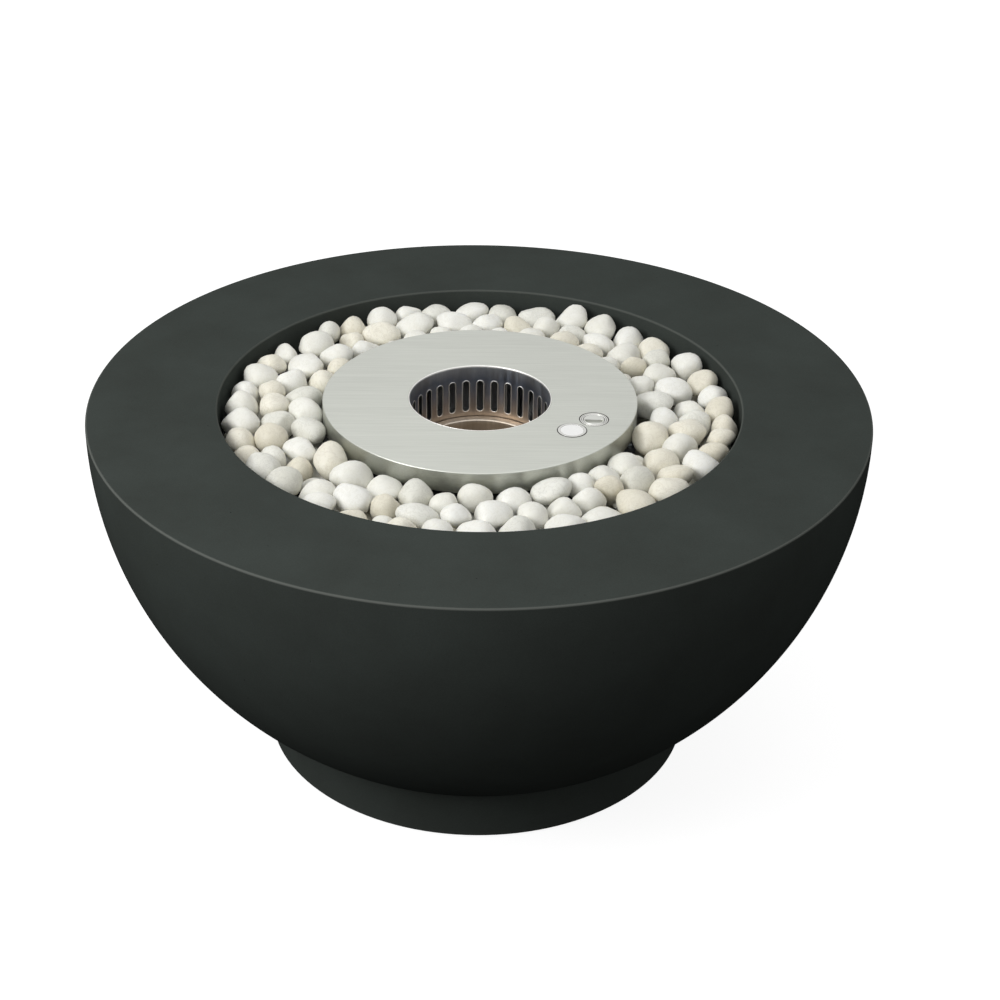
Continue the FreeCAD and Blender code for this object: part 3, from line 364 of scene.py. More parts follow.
def surface(tree, shader, skin, roughness, dents):
    """Give a surface shader its colour, its roughness and its dents."""
    for socket, value in (("Base Color", skin), ("Roughness", roughness), ("Normal", dents)):
        tree.links.new(value, shader.inputs[socket])


# Fluid concrete, pigmented right through, cast in a smooth mould and sealed: a
# matt charcoal skin, cloudy over a hand's width, with sand grain and pinholes,
# less rough along the rounded edges of the rim, where a paler line is a painted highlight.
concrete, tree, shader, place = principled("cast_charcoal_concrete", Roughness=0.7, Specular_IOR_Level=0.0)
CLOUD_SIZE = 120 * MM
GRAIN_SIZE = 1.6 * MM
HOLE_SPACING = 17 * MM
cloud = noise(tree, place, CLOUD_SIZE, 5, 0.62)
grain = noise(tree, place, GRAIN_SIZE, 3, 0.6)
cells = add(tree, "ShaderNodeTexVoronoi", {"Vector": place, "Scale": 1 / HOLE_SPACING})
apart = add(tree, "ShaderNodeSeparateColor", {"Color": cells.outputs["Color"]})
# About one cell in four has a pinhole, at most a twentieth of the spacing in radius.
hole_size = ranged(tree, apart.outputs[0], 0.0, 0.055, start=0.72, end=1.0)
hole = maths(tree, "GREATER_THAN", cells.outputs["Distance"], hole_size)
tone = blended(tree, ranged(tree, cloud, 0.0, 1.0), colour("#3B3F3C"), colour("#404542"))
# Pinholes are darkened to under half their tone: painted shade inside them.
pinhole_shade = ranged(tree, hole, 0.45, 1.0, start=0.0, end=1.0)
skin = scaled(tree, tone, maths(tree, "MULTIPLY", ranged(tree, grain, 0.93, 1.07), pinhole_shade))
reach = off_axis(tree, place)
height = add(tree, "ShaderNodeSeparateXYZ", {"Vector": place}).outputs["Z"]
outer_edge = ranged(tree, reach, 0.0, 1.0, start=(RIM_RADIUS - EASED_EDGE) * MM,
                    end=(RIM_RADIUS - 0.4 * EASED_EDGE) * MM)
inner_edge = ranged(tree, reach, 0.0, 0.5, start=(LIP_RADIUS + EASED_EDGE) * MM,
                    end=(LIP_RADIUS + 0.4 * EASED_EDGE) * MM)
top_edge = ranged(tree, height, 0.0, 1.0, start=(RIM_TOP - 1.2 * EASED_EDGE) * MM,
                  end=(RIM_TOP - 0.6 * EASED_EDGE) * MM)
# The rounded edges of the rim and the lip's top are painted paler, a painted highlight, and are made less
# rough.
worn = maths(tree, "MULTIPLY", maths(tree, "MAXIMUM", outer_edge, inner_edge), top_edge)
edge_highlit_skin = blended(tree, worn, skin, colour("#5E615D"))
edge_gloss = add(tree, "ShaderNodeMix", {"Factor": worn, "A": ranged(tree, cloud, 0.64, 0.78), "B": 0.36},
                 data_type="FLOAT").outputs["Result"]
sand = bumped(tree, grain, 0.12 * MM, 0.6)
surface(tree, shader, edge_highlit_skin, edge_gloss, bumped(tree, hole, 0.5 * MM, 0.8, Normal=sand))

outside = arc(BALL_CENTRE, RIM_RADIUS, FLOOR_UNDER, BALL_CENTRE, OUTSIDE_STEPS)
inside = arc(BALL_CENTRE, RIM_RADIUS - SHELL_WALL, RIM_UNDER, FLOOR_TOP, INSIDE_STEPS)
bowl = turned("bowl", rounded([
    (DRAIN_RADIUS, FLOOR_UNDER, SMALL_EDGE),
    *outside,
    (RIM_RADIUS, RIM_TOP, EASED_EDGE),
    (LIP_RADIUS, RIM_TOP, EASED_EDGE),
    (LIP_RADIUS, LEDGE_TOP, SMALL_EDGE),
    (LEDGE_RADIUS, LEDGE_TOP, SMALL_EDGE),
    (LEDGE_RADIUS, LEDGE_UNDER, SMALL_EDGE),
    (LIP_OUTSIDE, LEDGE_UNDER, SMALL_EDGE),
    (LIP_OUTSIDE, RIM_UNDER, SMALL_EDGE),
    *inside,
    (DRAIN_RADIUS, FLOOR_TOP, SMALL_EDGE),
]), LARGE_STEPS)
bolt_cutters = []
for number in range(BOLT_COUNT):
    angle = 2 * number * math.pi / BOLT_COUNT
    middle = (BOLT_CIRCLE * math.cos(angle), BOLT_CIRCLE * math.sin(angle))
    bolt_cutters.append(rod("bolt_cutter", BOLT_HOLE, FLOOR_UNDER - BOLT_OVERSHOOT,
                            FLOOR_TOP + BOLT_OVERSHOOT, BOLT_STEPS, middle))
cut_with(bowl, bolt_cutters)
dress(bowl, concrete, "bowl", "cast_concrete", "bowl_shell")


# Foot: a separate concrete ring of the same mix, bolted up into threaded brass
# inserts through the bowl's floor, and standing on six rubber pads.
def grained(name, light, dark, grain_size, depth, stretch=(1, 1, 1), **sockets):
    """A finish with a fine two-tone grain that also roughens and dents the surface."""
    material, tree, shader, place = principled(name, **sockets)
    drawn = add(tree, "ShaderNodeMapping", {"Vector": place, "Scale": stretch})
    grain = noise(tree, drawn.outputs[0], grain_size, 3, 0.55)
    rough = sockets["Roughness"]
    surface(tree, shader, blended(tree, grain, colour(dark), colour(light)),
            ranged(tree, grain, rough * 0.85, min(1, rough * 1.15)), bumped(tree, grain, depth, 0.5))
    return material


def finish_nodes(material, *nodes):
    """Give CAD nodes that stay a better material."""
    for node in nodes:
        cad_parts[node].data.materials[0] = material


# Moulded EPDM rubber: soft black, very slightly pebbled by the mould.
rubber = grained("moulded_black_rubber", "#262626", "#161616", 1.2 * MM, 0.06 * MM, Roughness=0.78)
# Turned brass: warm yellow, fine rings from the lathe, matt where it is set in concrete.
brass = grained("turned_brass", "#C8A25E", "#A98443", 0.8 * MM, 0.03 * MM, (0.2, 0.2, 2), Metallic=1.0,
                Roughness=0.32)
# Zinc-plated steel: pale bluish grey with a faint crystalline mottle.
zinc = grained("zinc_plated_steel", "#C4C9CC", "#9DA3A8", 1.5 * MM, 0.02 * MM, Metallic=1.0, Roughness=0.34)
# Injection-moulded nylon: black, a little glossier than the rubber.
nylon = grained("moulded_black_nylon", "#202122", "#151616", 0.9 * MM, 0.04 * MM, Roughness=0.5)
finish_nodes(concrete, "foot_ring")
finish_nodes(rubber, "foot_pads")
finish_nodes(brass, "foot_inserts")
finish_nodes(zinc, "foot_washers", "foot_bolts")
finish_nodes(nylon, "drain_bush")


# Pebble tray and collar: pressed steel rings, powder coated black and screwed
# together; fibre rings bed the tray on its ledge and the burner on the collar.
# Powder coat: a fine orange-peel skin, satin black.
powder = grained("black_powder_coat", "#1E1F1F", "#141515", 1.8 * MM, 0.05 * MM, Roughness=0.45)
# Pressed mineral fibre: off-white felt with a visible fibre nap.
fibre = grained("pressed_mineral_fibre", "#B7AE9C", "#8C8371", 1.1 * MM, 0.2 * MM, (1, 1, 3),
                Roughness=0.95)
finish_nodes(powder, "media_tray", "support_collar")
finish_nodes(fibre, "tray_gasket", "seat_gasket")
finish_nodes(zinc, "collar_screws", "collar_nuts")


# Pebbles: loose river stones, tumbled smooth, off-white to cream and pale grey.
# Each keeps the middle, size and turn of its CAD stone, and gets worn sides.
def loose_stones(node):
    """Each stone of a CAD node as its middle, its turn and its half sizes, from its own volume."""
    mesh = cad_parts[node].data
    mesh.calc_loop_triangles()
    spots = np.array([v.co for v in mesh.vertices])
    corners = np.array([t.vertices for t in mesh.loop_triangles])
    spots, same = np.unique(np.round(spots, 6), axis=0, return_inverse=True)
    corners = same.reshape(-1)[corners]
    label = np.arange(len(spots))
    while True:
        lowest = label[corners].min(axis=1)
        spread = label.copy()
        for side in range(3):
            np.minimum.at(spread, corners[:, side], lowest)
        spread = spread[spread]
        if np.array_equal(spread, label):
            break
        label = spread
    stones = []
    for one in np.unique(label[corners[:, 0]]):
        a, b, c = (spots[corners[label[corners[:, 0]] == one][:, side]] for side in range(3))
        volume = np.einsum("ij,ij->i", a, np.cross(b, c)) / 6
        middle = (volume[:, None] * (a + b + c) / 4).sum(0) / volume.sum()
        a, b, c = a - middle, b - middle, c - middle
        volume = np.einsum("ij,ij->i", a, np.cross(b, c)) / 6
        spread = sum(np.einsum("i,ij,ik->jk", volume / 20, side, side) for side in (a, b, c, a + b + c))
        # An ellipsoid's spread along each axis is a fifth of that half size squared.
        squares, axes = np.linalg.eigh(5 * spread / volume.sum())
        axes = axes * np.linalg.det(axes)
        stones.append((middle, Matrix(axes.tolist()).to_euler(), np.sqrt(squares)))
    return stones


# How many sides of a stone are worn flat.
FACETS = 6


def node_group(name, **inputs):
    """A tree that turns geometry into geometry, and its inputs, given by their names and kinds."""
    tree = bpy.data.node_groups.new(name, "GeometryNodeTree")
    tree.interface.new_socket("Geometry", in_out="INPUT", socket_type="NodeSocketGeometry")
    for key, kind in inputs.items():
        tree.interface.new_socket(key.replace("_", " "), in_out="INPUT", socket_type="NodeSocket" + kind)
    tree.interface.new_socket("Geometry", in_out="OUTPUT", socket_type="NodeSocketGeometry")
    return tree, add(tree, "NodeGroupInput").outputs


def end_group(tree, geometry, finish):
    """End a tree with smooth shading, the material and the output."""
    smooth = add(tree, "GeometryNodeSetShadeSmooth", {"Geometry": geometry})
    finished = add(tree, "GeometryNodeSetMaterial",
                   {"Geometry": smooth.outputs["Geometry"], "Material": finish})
    add(tree, "NodeGroupOutput", {"Geometry": finished.outputs["Geometry"]})
    return tree


def bed_tree():
    """Nodes that put a tumbled stone at each point: a ball worn flat on a few sides, then dented."""
    tree, given = node_group("pebble_bed", Fine="Int", Coarse="Int", Buried_below="Float", Swell="Float",
                             Wear="Float", Softness="Float", Dent_size="Float", Dent_depth="Float",
                             Finish="Material")
    known = {}
    for name in ("middle", "turn", "halves", "lot", "ball"):
        kind = "FLOAT" if name == "lot" else "FLOAT_VECTOR"
        field = add(tree, "GeometryNodeInputNamedAttribute", {"Name": name}, data_type=kind)
        known[name] = field.outputs["Attribute"]
    spot = add(tree, "GeometryNodeInputPosition").outputs[0]
    height = add(tree, "ShaderNodeSeparateXYZ", {"Vector": known["middle"]}).outputs["Z"]
    joined = add(tree, "GeometryNodeJoinGeometry")
    for fineness, side in (("Fine", "GREATER_THAN"), ("Coarse", "LESS_THAN")):
        ball = add(tree, "GeometryNodeMeshIcoSphere", {"Radius": 1.0, "Subdivisions": given[fineness]})
        marked = add(tree, "GeometryNodeStoreNamedAttribute",
                     {"Geometry": ball.outputs["Mesh"], "Name": "ball", "Value": spot},
                     data_type="FLOAT_VECTOR")
        chosen = maths(tree, side, height, given["Buried below"])
        placed = add(tree, "GeometryNodeInstanceOnPoints",
                     {"Points": given["Geometry"], "Selection": chosen,
                      "Instance": marked.outputs["Geometry"]})
        tree.links.new(placed.outputs["Instances"], joined.inputs[0])
    solid = add(tree, "GeometryNodeRealizeInstances", {"Geometry": joined.outputs["Geometry"]})
    shape = known["ball"]
    for seed in range(FACETS):
        way = add(tree, "FunctionNodeRandomValue",
                  {0: (-1, -1, -1), 1: (1, 1, 1), "ID": known["lot"], "Seed": seed},
                  data_type="FLOAT_VECTOR")
        facing = vectors(tree, "NORMALIZE", way.outputs[0])
        level = add(tree, "FunctionNodeRandomValue",
                    {2: 0.7, 3: 1.0, "ID": known["lot"], "Seed": seed + FACETS}, data_type="FLOAT")
        proud = maths(tree, "SUBTRACT", vectors(tree, "DOT_PRODUCT", shape, facing), level.outputs[1])
        rubbed = maths(tree, "SMOOTH_MAX", proud, 0.0, given["Softness"])
        away = scaled(tree, facing, maths(tree, "MULTIPLY", rubbed, given["Wear"]))
        shape = vectors(tree, "SUBTRACT", shape, away)
    swollen = scaled(tree, vectors(tree, "MULTIPLY", shape, known["halves"]), given["Swell"])
    lay = add(tree, "FunctionNodeEulerToRotation", {0: known["turn"]})
    laid = add(tree, "FunctionNodeRotateVector", {"Vector": swollen, "Rotation": lay.outputs[0]})
    settled = vectors(tree, "ADD", known["middle"], laid.outputs[0])
    worn = add(tree, "GeometryNodeSetPosition",
               {"Geometry": solid.outputs["Geometry"], "Position": settled})
    fine = maths(tree, "DIVIDE", 1.0, given["Dent size"])
    lumps = add(tree, "ShaderNodeTexNoise",
                {"Vector": spot, "W": known["lot"], "Scale": fine, "Detail": 0.6, "Roughness": 0.4},
                noise_dimensions="4D")
    depth = ranged(tree, lumps.outputs["Fac"], -1.0, 0.4, start=0.25, end=0.7)
    sunk = maths(tree, "MULTIPLY", depth, given["Dent depth"])
    outwards = add(tree, "GeometryNodeInputNormal")
    dented = add(tree, "GeometryNodeSetPosition", {"Geometry": worn.outputs["Geometry"],
                                                   "Offset": scaled(tree, outwards.outputs[0], sunk)})
    return end_group(tree, dented.outputs["Geometry"], given["Finish"])


def grown(piece, tree, **inputs):
    """Run a piece through a node tree, with its inputs set by their names, and keep the plain mesh."""
    modifier = piece.modifiers.new("nodes", "NODES")
    modifier.node_group = tree
    for item in tree.interface.items_tree:
        key = item.name.replace(" ", "_")
        if item.in_out == "INPUT" and key in inputs:
            modifier[item.identifier] = inputs[key]
    return made_plain(piece)


# The sizes of the patterns in a stone, and the step in shade from one stone to the next.
STONE_CLOUD = 22 * MM
STONE_VEIN = 14 * MM
STONE_PIT = 1.2 * MM
SHADE_STEP = 0.37


def river_stone(name, light, dark, vein):
    """Tumbled marble or quartz: smooth and close, cloudy inside, with faint veins and a soft shine."""
    material, tree, shader, place = principled(name, Roughness=0.5, IOR=1.55, Subsurface_Weight=0.45,
                                               Subsurface_Radius=(1.0, 0.97, 0.88), Subsurface_Scale=0.005)
    lot = add(tree, "ShaderNodeAttribute", attribute_name="lot").outputs["Fac"]
    cloud = noise(tree, place, STONE_CLOUD, 4, 0.6, lot)
    streak = noise(tree, place, STONE_VEIN, 6, 0.7, lot, distortion=1.4)
    speck = noise(tree, place, STONE_PIT, 2)
    own_tone = maths(tree, "FRACT", maths(tree, "MULTIPLY", lot, SHADE_STEP))
    share = ranged(tree, maths(tree, "ADD", cloud, own_tone), 0.0, 1.0, start=0.4, end=1.6)
    tone = blended(tree, share, colour(dark), colour(light))
    off_vein = maths(tree, "ABSOLUTE", maths(tree, "SUBTRACT", streak, 0.5))
    veined = blended(tree, ranged(tree, off_vein, 0.35, 0.0, start=0.0, end=0.03), tone, colour(vein))
    surface(tree, shader, veined, ranged(tree, cloud, 0.4, 0.6), bumped(tree, speck, 0.15 * MM, 0.5))
    return material


STONE_FINISHES = {
    "white": river_stone("tumbled_white_marble", "#EDEDE8", "#E4E3DA", "#CDCABC"),
    "cream": river_stone("tumbled_cream_quartz", "#EBE8DB", "#DAD5C4", "#B8AF9A"),
    "grey": river_stone("tumbled_grey_marble", "#E6E6DF", "#D5D4C9", "#ADAA9E"),
}
# Stones in view have 320 faces each, and the ones buried below them have 80.
pebble_bed = bed_tree()
lot = 0
for tint, material in STONE_FINISHES.items():
    stones = loose_stones("pebbles_" + tint)
    mesh = bpy.data.meshes.new(tint + "_pebbles")
    mesh.from_pydata([stone[0] for stone in stones], [], [])
    for name, kind, values in (("middle", "FLOAT_VECTOR", [list(stone[0]) for stone in stones]),
                               ("turn", "FLOAT_VECTOR", [list(stone[1]) for stone in stones]),
                               ("halves", "FLOAT_VECTOR", [list(stone[2]) for stone in stones]),
                               ("lot", "FLOAT", [[(lot + number) * 1.0] for number in range(len(stones))])):
        field = mesh.attributes.new(name, kind, "POINT")
        field.data.foreach_set("value" if kind == "FLOAT" else "vector", [v for row in values for v in row])
    lot += len(stones)
    pile = bpy.data.objects.new(tint + "_pebbles", mesh)
    scene.collection.objects.link(pile)
    grown(pile, pebble_bed, Fine=3, Coarse=2, Buried_below=443 * MM, Swell=1.06, Wear=0.8, Softness=0.25,
          Dent_size=26 * MM, Dent_depth=2.5 * MM, Finish=material)
    dress(pile, material, "bowl", tint + "_stone", "pebbles_" + tint)


# Burner plate: the round lid of the burner, pressed from 2 mm stainless sheet
# with its edge turned down, straight brushed, with a hole for the filler.
PLATE_TOP = 491.0
PLATE_GAUGE = 2.0
PLATE_UNDER = PLATE_TOP - PLATE_GAUGE
PLATE_RADIUS = 203.0
PLATE_SKIRT = 28.0
PLATE_HOLE = 92.55
BEND = 1.3
CUT_EDGE = 0.3
HOLE_EDGE = 0.6
# The filler's hole with its slope, and the groove round the badge.
FILLER_HOLE = 18.05
GROOVE_INSIDE = 17.9
GROOVE_OUTSIDE = 19.0
GROOVE_SLOPE = 0.1
GROOVE_DEPTH = 0.9
# The dark line of painted shade that both of them show, and the width of the plate's cloudy sheen.
LINE_RADIUS = 18.5
LINE_HALF_WIDTH = 0.62
SHEEN_SIZE = 90 * MM
# Steps round the two cutters, and how far they reach past the plate.
CUTTER_STEPS = 96
FILLER_OVERSHOOT = 3.0
BADGE_OVERSHOOT = 1.0


def polar(distance, degrees):
    """A place on the plate, by its distance and direction from the middle."""
    return distance * math.cos(math.radians(degrees)), distance * math.sin(math.radians(degrees))


FILLER = polar(distance=156, degrees=-22)
BADGE = polar(distance=146, degrees=-37.5)


def groove_shade_lines(tree, place):
    """Where the two round grooves of the plate are painted dark as painted shade: round the filler and
    round the badge.
    """
    lines = []
    for x, y in (FILLER, BADGE):
        reach = off_axis(tree, vectors(tree, "SUBTRACT", place, (x * MM, y * MM, PLATE_TOP * MM)))
        lines.append(maths(tree, "COMPARE", reach, LINE_RADIUS * MM, LINE_HALF_WIDTH * MM))
    return maths(tree, "MAXIMUM", *lines)


def upright_wall_shade(tree, place):
    """Where a small turned piece has its upright walls, which are painted dark as painted shade."""
    facing = add(tree, "ShaderNodeNewGeometry")
    rise = add(tree, "ShaderNodeSeparateXYZ", {"Vector": facing.outputs["Normal"]}).outputs["Z"]
    return ranged(tree, rise, 1.0, 0.0, start=0.35, end=0.75)


def brushed(name, light, dark, rough, line_width, run=120 * MM, depth=0.05 * MM, painted_shade=None):
    """Stainless steel brushed along x, a little coarser than real so that it shows, and painted near black
    as painted shade where an optional mask says.
    """
    material, tree, shader, place = principled(name, Metallic=1.0, Roughness=rough)
    drawn = add(tree, "ShaderNodeMapping",
                {"Vector": place, "Scale": (1 / run, 1 / line_width, 1 / line_width)})
    lines = noise(tree, drawn.outputs[0], 1, 3, 0.7)
    cloud = noise(tree, place, SHEEN_SIZE, 3)
    tone = blended(tree, lines, colour(dark), colour(light))
    if painted_shade:
        # Painted shade: near black where the mask says, in grooves and on upright walls.
        tone = blended(tree, painted_shade(tree, place), tone, colour("#3B3A37"))
    gloss = ranged(tree, maths(tree, "ADD", lines, cloud), rough * 0.8, rough * 1.2, start=0.6, end=1.4)
    surface(tree, shader, tone, gloss, bumped(tree, lines, depth, 0.35))
    return material


# The plate's two grooves are painted dark: painted shade.
plate_steel = brushed("straight_brushed_stainless", "#C9CBC4", "#A2A49D", 0.34, 1.3 * MM,
                      painted_shade=groove_shade_lines)
plate = turned("burner_lid", rounded([
    (PLATE_HOLE, PLATE_UNDER, CUT_EDGE),
    (PLATE_RADIUS - PLATE_GAUGE, PLATE_UNDER, CUT_EDGE),
    (PLATE_RADIUS - PLATE_GAUGE, PLATE_TOP - PLATE_SKIRT, CUT_EDGE),
    (PLATE_RADIUS, PLATE_TOP - PLATE_SKIRT, CUT_EDGE),
    (PLATE_RADIUS, PLATE_TOP, BEND),
    (PLATE_HOLE, PLATE_TOP, HOLE_EDGE),
]), LARGE_STEPS)
filler_cutter = turned("filler_cutter", [
    (0, PLATE_UNDER - FILLER_OVERSHOOT),
    (FILLER_HOLE, PLATE_UNDER - FILLER_OVERSHOOT),
    (FILLER_HOLE, PLATE_TOP - GROOVE_DEPTH),
    (GROOVE_OUTSIDE, PLATE_TOP),
    (GROOVE_OUTSIDE, PLATE_TOP + FILLER_OVERSHOOT),
    (0, PLATE_TOP + FILLER_OVERSHOOT),
], CUTTER_STEPS, FILLER)
badge_cutter = turned("badge_cutter", [
    (GROOVE_INSIDE, PLATE_TOP - GROOVE_DEPTH),
    (GROOVE_OUTSIDE - GROOVE_SLOPE, PLATE_TOP - GROOVE_DEPTH),
    (GROOVE_OUTSIDE + GROOVE_SLOPE, PLATE_TOP + BADGE_OVERSHOOT),
    (GROOVE_INSIDE, PLATE_TOP + BADGE_OVERSHOOT),
], CUTTER_STEPS, BADGE)
cut_with(plate, [filler_cutter, badge_cutter])
dress(plate, plate_steel, "burner", "brushed_stainless", "burner_plate")


# Fire well: a stainless tube welded into the plate. Thirty air slots are pressed
# through it, their edges raised inwards, and the flame has tinted the steel; the
# raised edges and the mouth carry a painted highlight.
WELL_INSIDE = 91.0
WELL_GAUGE = 1.5
WELL_BOTTOM = 382.5
SLOT_COUNT = 30
SLOT_HALF_WIDTH = 4.25
SLOT_LOW = 424.0 + SLOT_HALF_WIDTH
SLOT_HIGH = 469.0 - SLOT_HALF_WIDTH
PANEL_LOW = 415.0
PANEL_HIGH = 478.0
# Steps round each end of a slot and along each side, and points in a loop round it.
END_STEPS = 12
SIDE_STEPS = 8
LOOP = 2 * (END_STEPS + SIDE_STEPS)
# How far each loop of points lies outside the slot, and how deep it is pressed.
PRESSED = ((3.0, 0.0), (1.3, 0.0), (0.9, 0.14), (0.5, 0.36), (0.2, 0.4), (0.0, 0.25), (0.0, -0.6),
           (0.1, -1.3), (0.4, -WELL_GAUGE), (3.0, -WELL_GAUGE))
# The height and depth of each row of points, over the rounded mouth and under the foot.
MOUTH_ROWS = ((PANEL_HIGH, 0.0), (484.0, 0.0), (488.0, 0.0), (489.6, -0.12), (490.5, -0.35), (490.9, -0.65),
              (PLATE_TOP, -0.95), (490.9, -1.3), (490.6, -WELL_GAUGE), (488.0, -WELL_GAUGE),
              (484.0, -WELL_GAUGE), (PANEL_HIGH, -WELL_GAUGE))
FOOT_ROWS = ((PANEL_LOW, -WELL_GAUGE), (400.0, -WELL_GAUGE), (WELL_BOTTOM + 0.3, -WELL_GAUGE),
             (WELL_BOTTOM, -1.2), (WELL_BOTTOM, -0.3), (WELL_BOTTOM + 0.3, 0.0), (400.0, 0.0),
             (PANEL_LOW, 0.0))
# What gets a painted highlight: the raised lip of each slot and the mouth above this height.
HIGHLIGHT_LOOPS = range(4, 8)
MOUTH_HIGHLIGHT = 488.5
WELD = 0.02 * MM


def slot_loop(grow):
    """The points round an upright slot, grown by some millimetres, clockwise from the top left."""
    radius = SLOT_HALF_WIDTH + grow
    turns = [math.pi * n / END_STEPS for n in range(END_STEPS + 1)]
    rises = [(SLOT_HIGH - SLOT_LOW) * n / SIDE_STEPS for n in range(1, SIDE_STEPS)]
    loop = [(-radius * math.cos(turn), SLOT_HIGH + radius * math.sin(turn)) for turn in turns]
    loop += [(radius, SLOT_HIGH - rise) for rise in rises]
    loop += [(radius * math.cos(turn), SLOT_LOW - radius * math.sin(turn)) for turn in turns]
    loop += [(-radius, SLOT_LOW + rise) for rise in rises]
    return loop


def steps_across(half):
    """The places across a panel, from its left side to its right."""
    return [-half + 2 * half * n / SIDE_STEPS for n in range(SIDE_STEPS + 1)]


def panel_loop(half):
    """The points round the panel that holds a slot, in step with the points round the slot."""
    heights = [PANEL_HIGH + (PANEL_LOW - PANEL_HIGH) * n / END_STEPS for n in range(END_STEPS + 1)]
    across = steps_across(half)
    loop = [(-half, heights[2]), (-half, heights[1])] + [(u, PANEL_HIGH) for u in across]
    loop += [(half, height) for height in heights[1:-1]]
    loop += [(u, PANEL_LOW) for u in reversed(across)]
    loop += [(-half, height) for height in reversed(heights[3:-1])]
    return loop


def well_sector():
    """One slot's share of the well's wall: its points, its faces and where its edges get a painted
    highlight.
    """
    half = math.pi * WELL_INSIDE / SLOT_COUNT
    pairs = list(zip(panel_loop(half), slot_loop(PRESSED[0][0])))

    def between(share, depth):
        """A loop on the way from the panel's edge to the outermost loop round the slot."""
        return [((1 - share) * p[0] + share * s[0], (1 - share) * p[1] + share * s[1], depth)
                for p, s in pairs]

    loops = [between(0.0, 0.0), between(0.5, 0.0)]
    loops += [[(u, v, depth) for u, v in slot_loop(grow)] for grow, depth in PRESSED]
    loops += [between(0.5, -WELL_GAUGE), between(0.0, -WELL_GAUGE)]
    points = [point for loop in loops for point in loop]
    painted_highlight = [1.0 if number in HIGHLIGHT_LOOPS else 0.0
              for number in range(len(loops)) for step in range(LOOP)]
    faces = []
    for start in range(0, len(points) - LOOP, LOOP):
        for step in range(LOOP):
            here = start + step
            nxt = start + (step + 1) % LOOP
            faces.append((here, here + LOOP, nxt + LOOP, nxt))
    across = steps_across(half)
    row_length = len(across)
    for rows in (MOUTH_ROWS, FOOT_ROWS):
        first = len(points)
        points += [(u, height, depth) for height, depth in rows for u in across]
        painted_highlight += [1.0 if height > MOUTH_HIGHLIGHT else 0.0 for height, depth in rows for u in across]
        for row in range(len(rows) - 1):
            for step in range(SIDE_STEPS):
                here = first + row * row_length + step
                faces.append((here, here + 1, here + 1 + row_length, here + row_length))
    placed = []
    for u, height, depth in points:
        angle = math.pi / 2 - u / WELL_INSIDE
        radius = WELL_INSIDE - depth
        placed.append((radius * math.cos(angle), radius * math.sin(angle), height))
    return placed, faces, painted_highlight


def round_tree():
    """Nodes that repeat a sector round the upright axis and weld the sectors together."""
    tree, given = node_group("sectors_round_the_axis", Count="Int", Weld="Float", Finish="Material")
    spots = add(tree, "GeometryNodePoints", {"Count": given["Count"]})
    index = add(tree, "GeometryNodeInputIndex")
    share = maths(tree, "DIVIDE", index.outputs[0], given["Count"])
    turn = add(tree, "ShaderNodeCombineXYZ", {"Z": maths(tree, "MULTIPLY", share, 2 * math.pi)})
    placed = add(tree, "GeometryNodeInstanceOnPoints",
                 {"Points": spots.outputs[0], "Instance": given["Geometry"], "Rotation": turn.outputs[0]})
    solid = add(tree, "GeometryNodeRealizeInstances", {"Geometry": placed.outputs["Instances"]})
    welded = add(tree, "GeometryNodeMergeByDistance", {"Geometry": solid.outputs["Geometry"],
                                                       "Distance": given["Weld"]})
    return end_group(tree, welded.outputs["Geometry"], given["Finish"])


# The sizes of the patterns on hot steel, and how ragged the bands of colour are.
STREAK_SIZE = 5 * MM
HAZE_SIZE = 30 * MM
RAGGED = 12 * MM


def heat_tinted(name, rough, stops):
    """Stainless steel coloured by the flame: straw and bronze low down, blue grey at the mouth, with a
    painted highlight on marked edges.
    """
    material, tree, shader, place = principled(name, Metallic=1.0, Roughness=rough)
    drawn = add(tree, "ShaderNodeMapping", {"Vector": place, "Scale": (1.0, 1.0, 0.12)})
    streaks = noise(tree, drawn.outputs[0], STREAK_SIZE, 4, 0.65)
    cloud = noise(tree, place, HAZE_SIZE, 3)
    height = add(tree, "ShaderNodeSeparateXYZ", {"Vector": place}).outputs["Z"]
    level = maths(tree, "ADD", height, ranged(tree, cloud, -RAGGED, RAGGED, start=0.0, end=1.0))
    share = ranged(tree, level, 0.0, 1.0, start=stops[0][0] * MM, end=stops[-1][0] * MM)
    ramp = add(tree, "ShaderNodeValToRGB", {"Fac": share})
    span = stops[-1][0] - stops[0][0]
    while len(ramp.color_ramp.elements) < len(stops):
        ramp.color_ramp.elements.new(0.5)
    for element, (level_mm, code) in zip(ramp.color_ramp.elements, stops):
        element.position = (level_mm - stops[0][0]) / span
    for element, (level_mm, code) in zip(ramp.color_ramp.elements, stops):
        element.color = colour(code)
    tinted = scaled(tree, ramp.outputs["Color"], ranged(tree, streaks, 0.85, 1.1))
    # Marked edges are painted near white: a painted highlight.
    painted_highlight = add(tree, "ShaderNodeAttribute", attribute_name="painted_highlight").outputs["Fac"]
    surface(tree, shader, blended(tree, painted_highlight, tinted, colour("#E3E2DE")),
            ranged(tree, streaks, rough * 0.8, rough * 1.25), bumped(tree, streaks, 0.05 * MM, 0.4))
    return material


# Heat tint by height; the pale pinkish band near 418 to 434 mm is also painted flame light.
well_steel = heat_tinted("heat_tinted_stainless", 0.42,
                         [(384, "#857668"), (418, "#B6A798"), (434, "#ABA19B"),
                          (452, "#868A95"), (472, "#727B8B"), (491, "#A9AFB5")])


PORT_RODS = 3
PORT_RADIUS = 5
PORT_REACH = 110
PORT_HEIGHT = 391.5
PORT_STEPS = 32


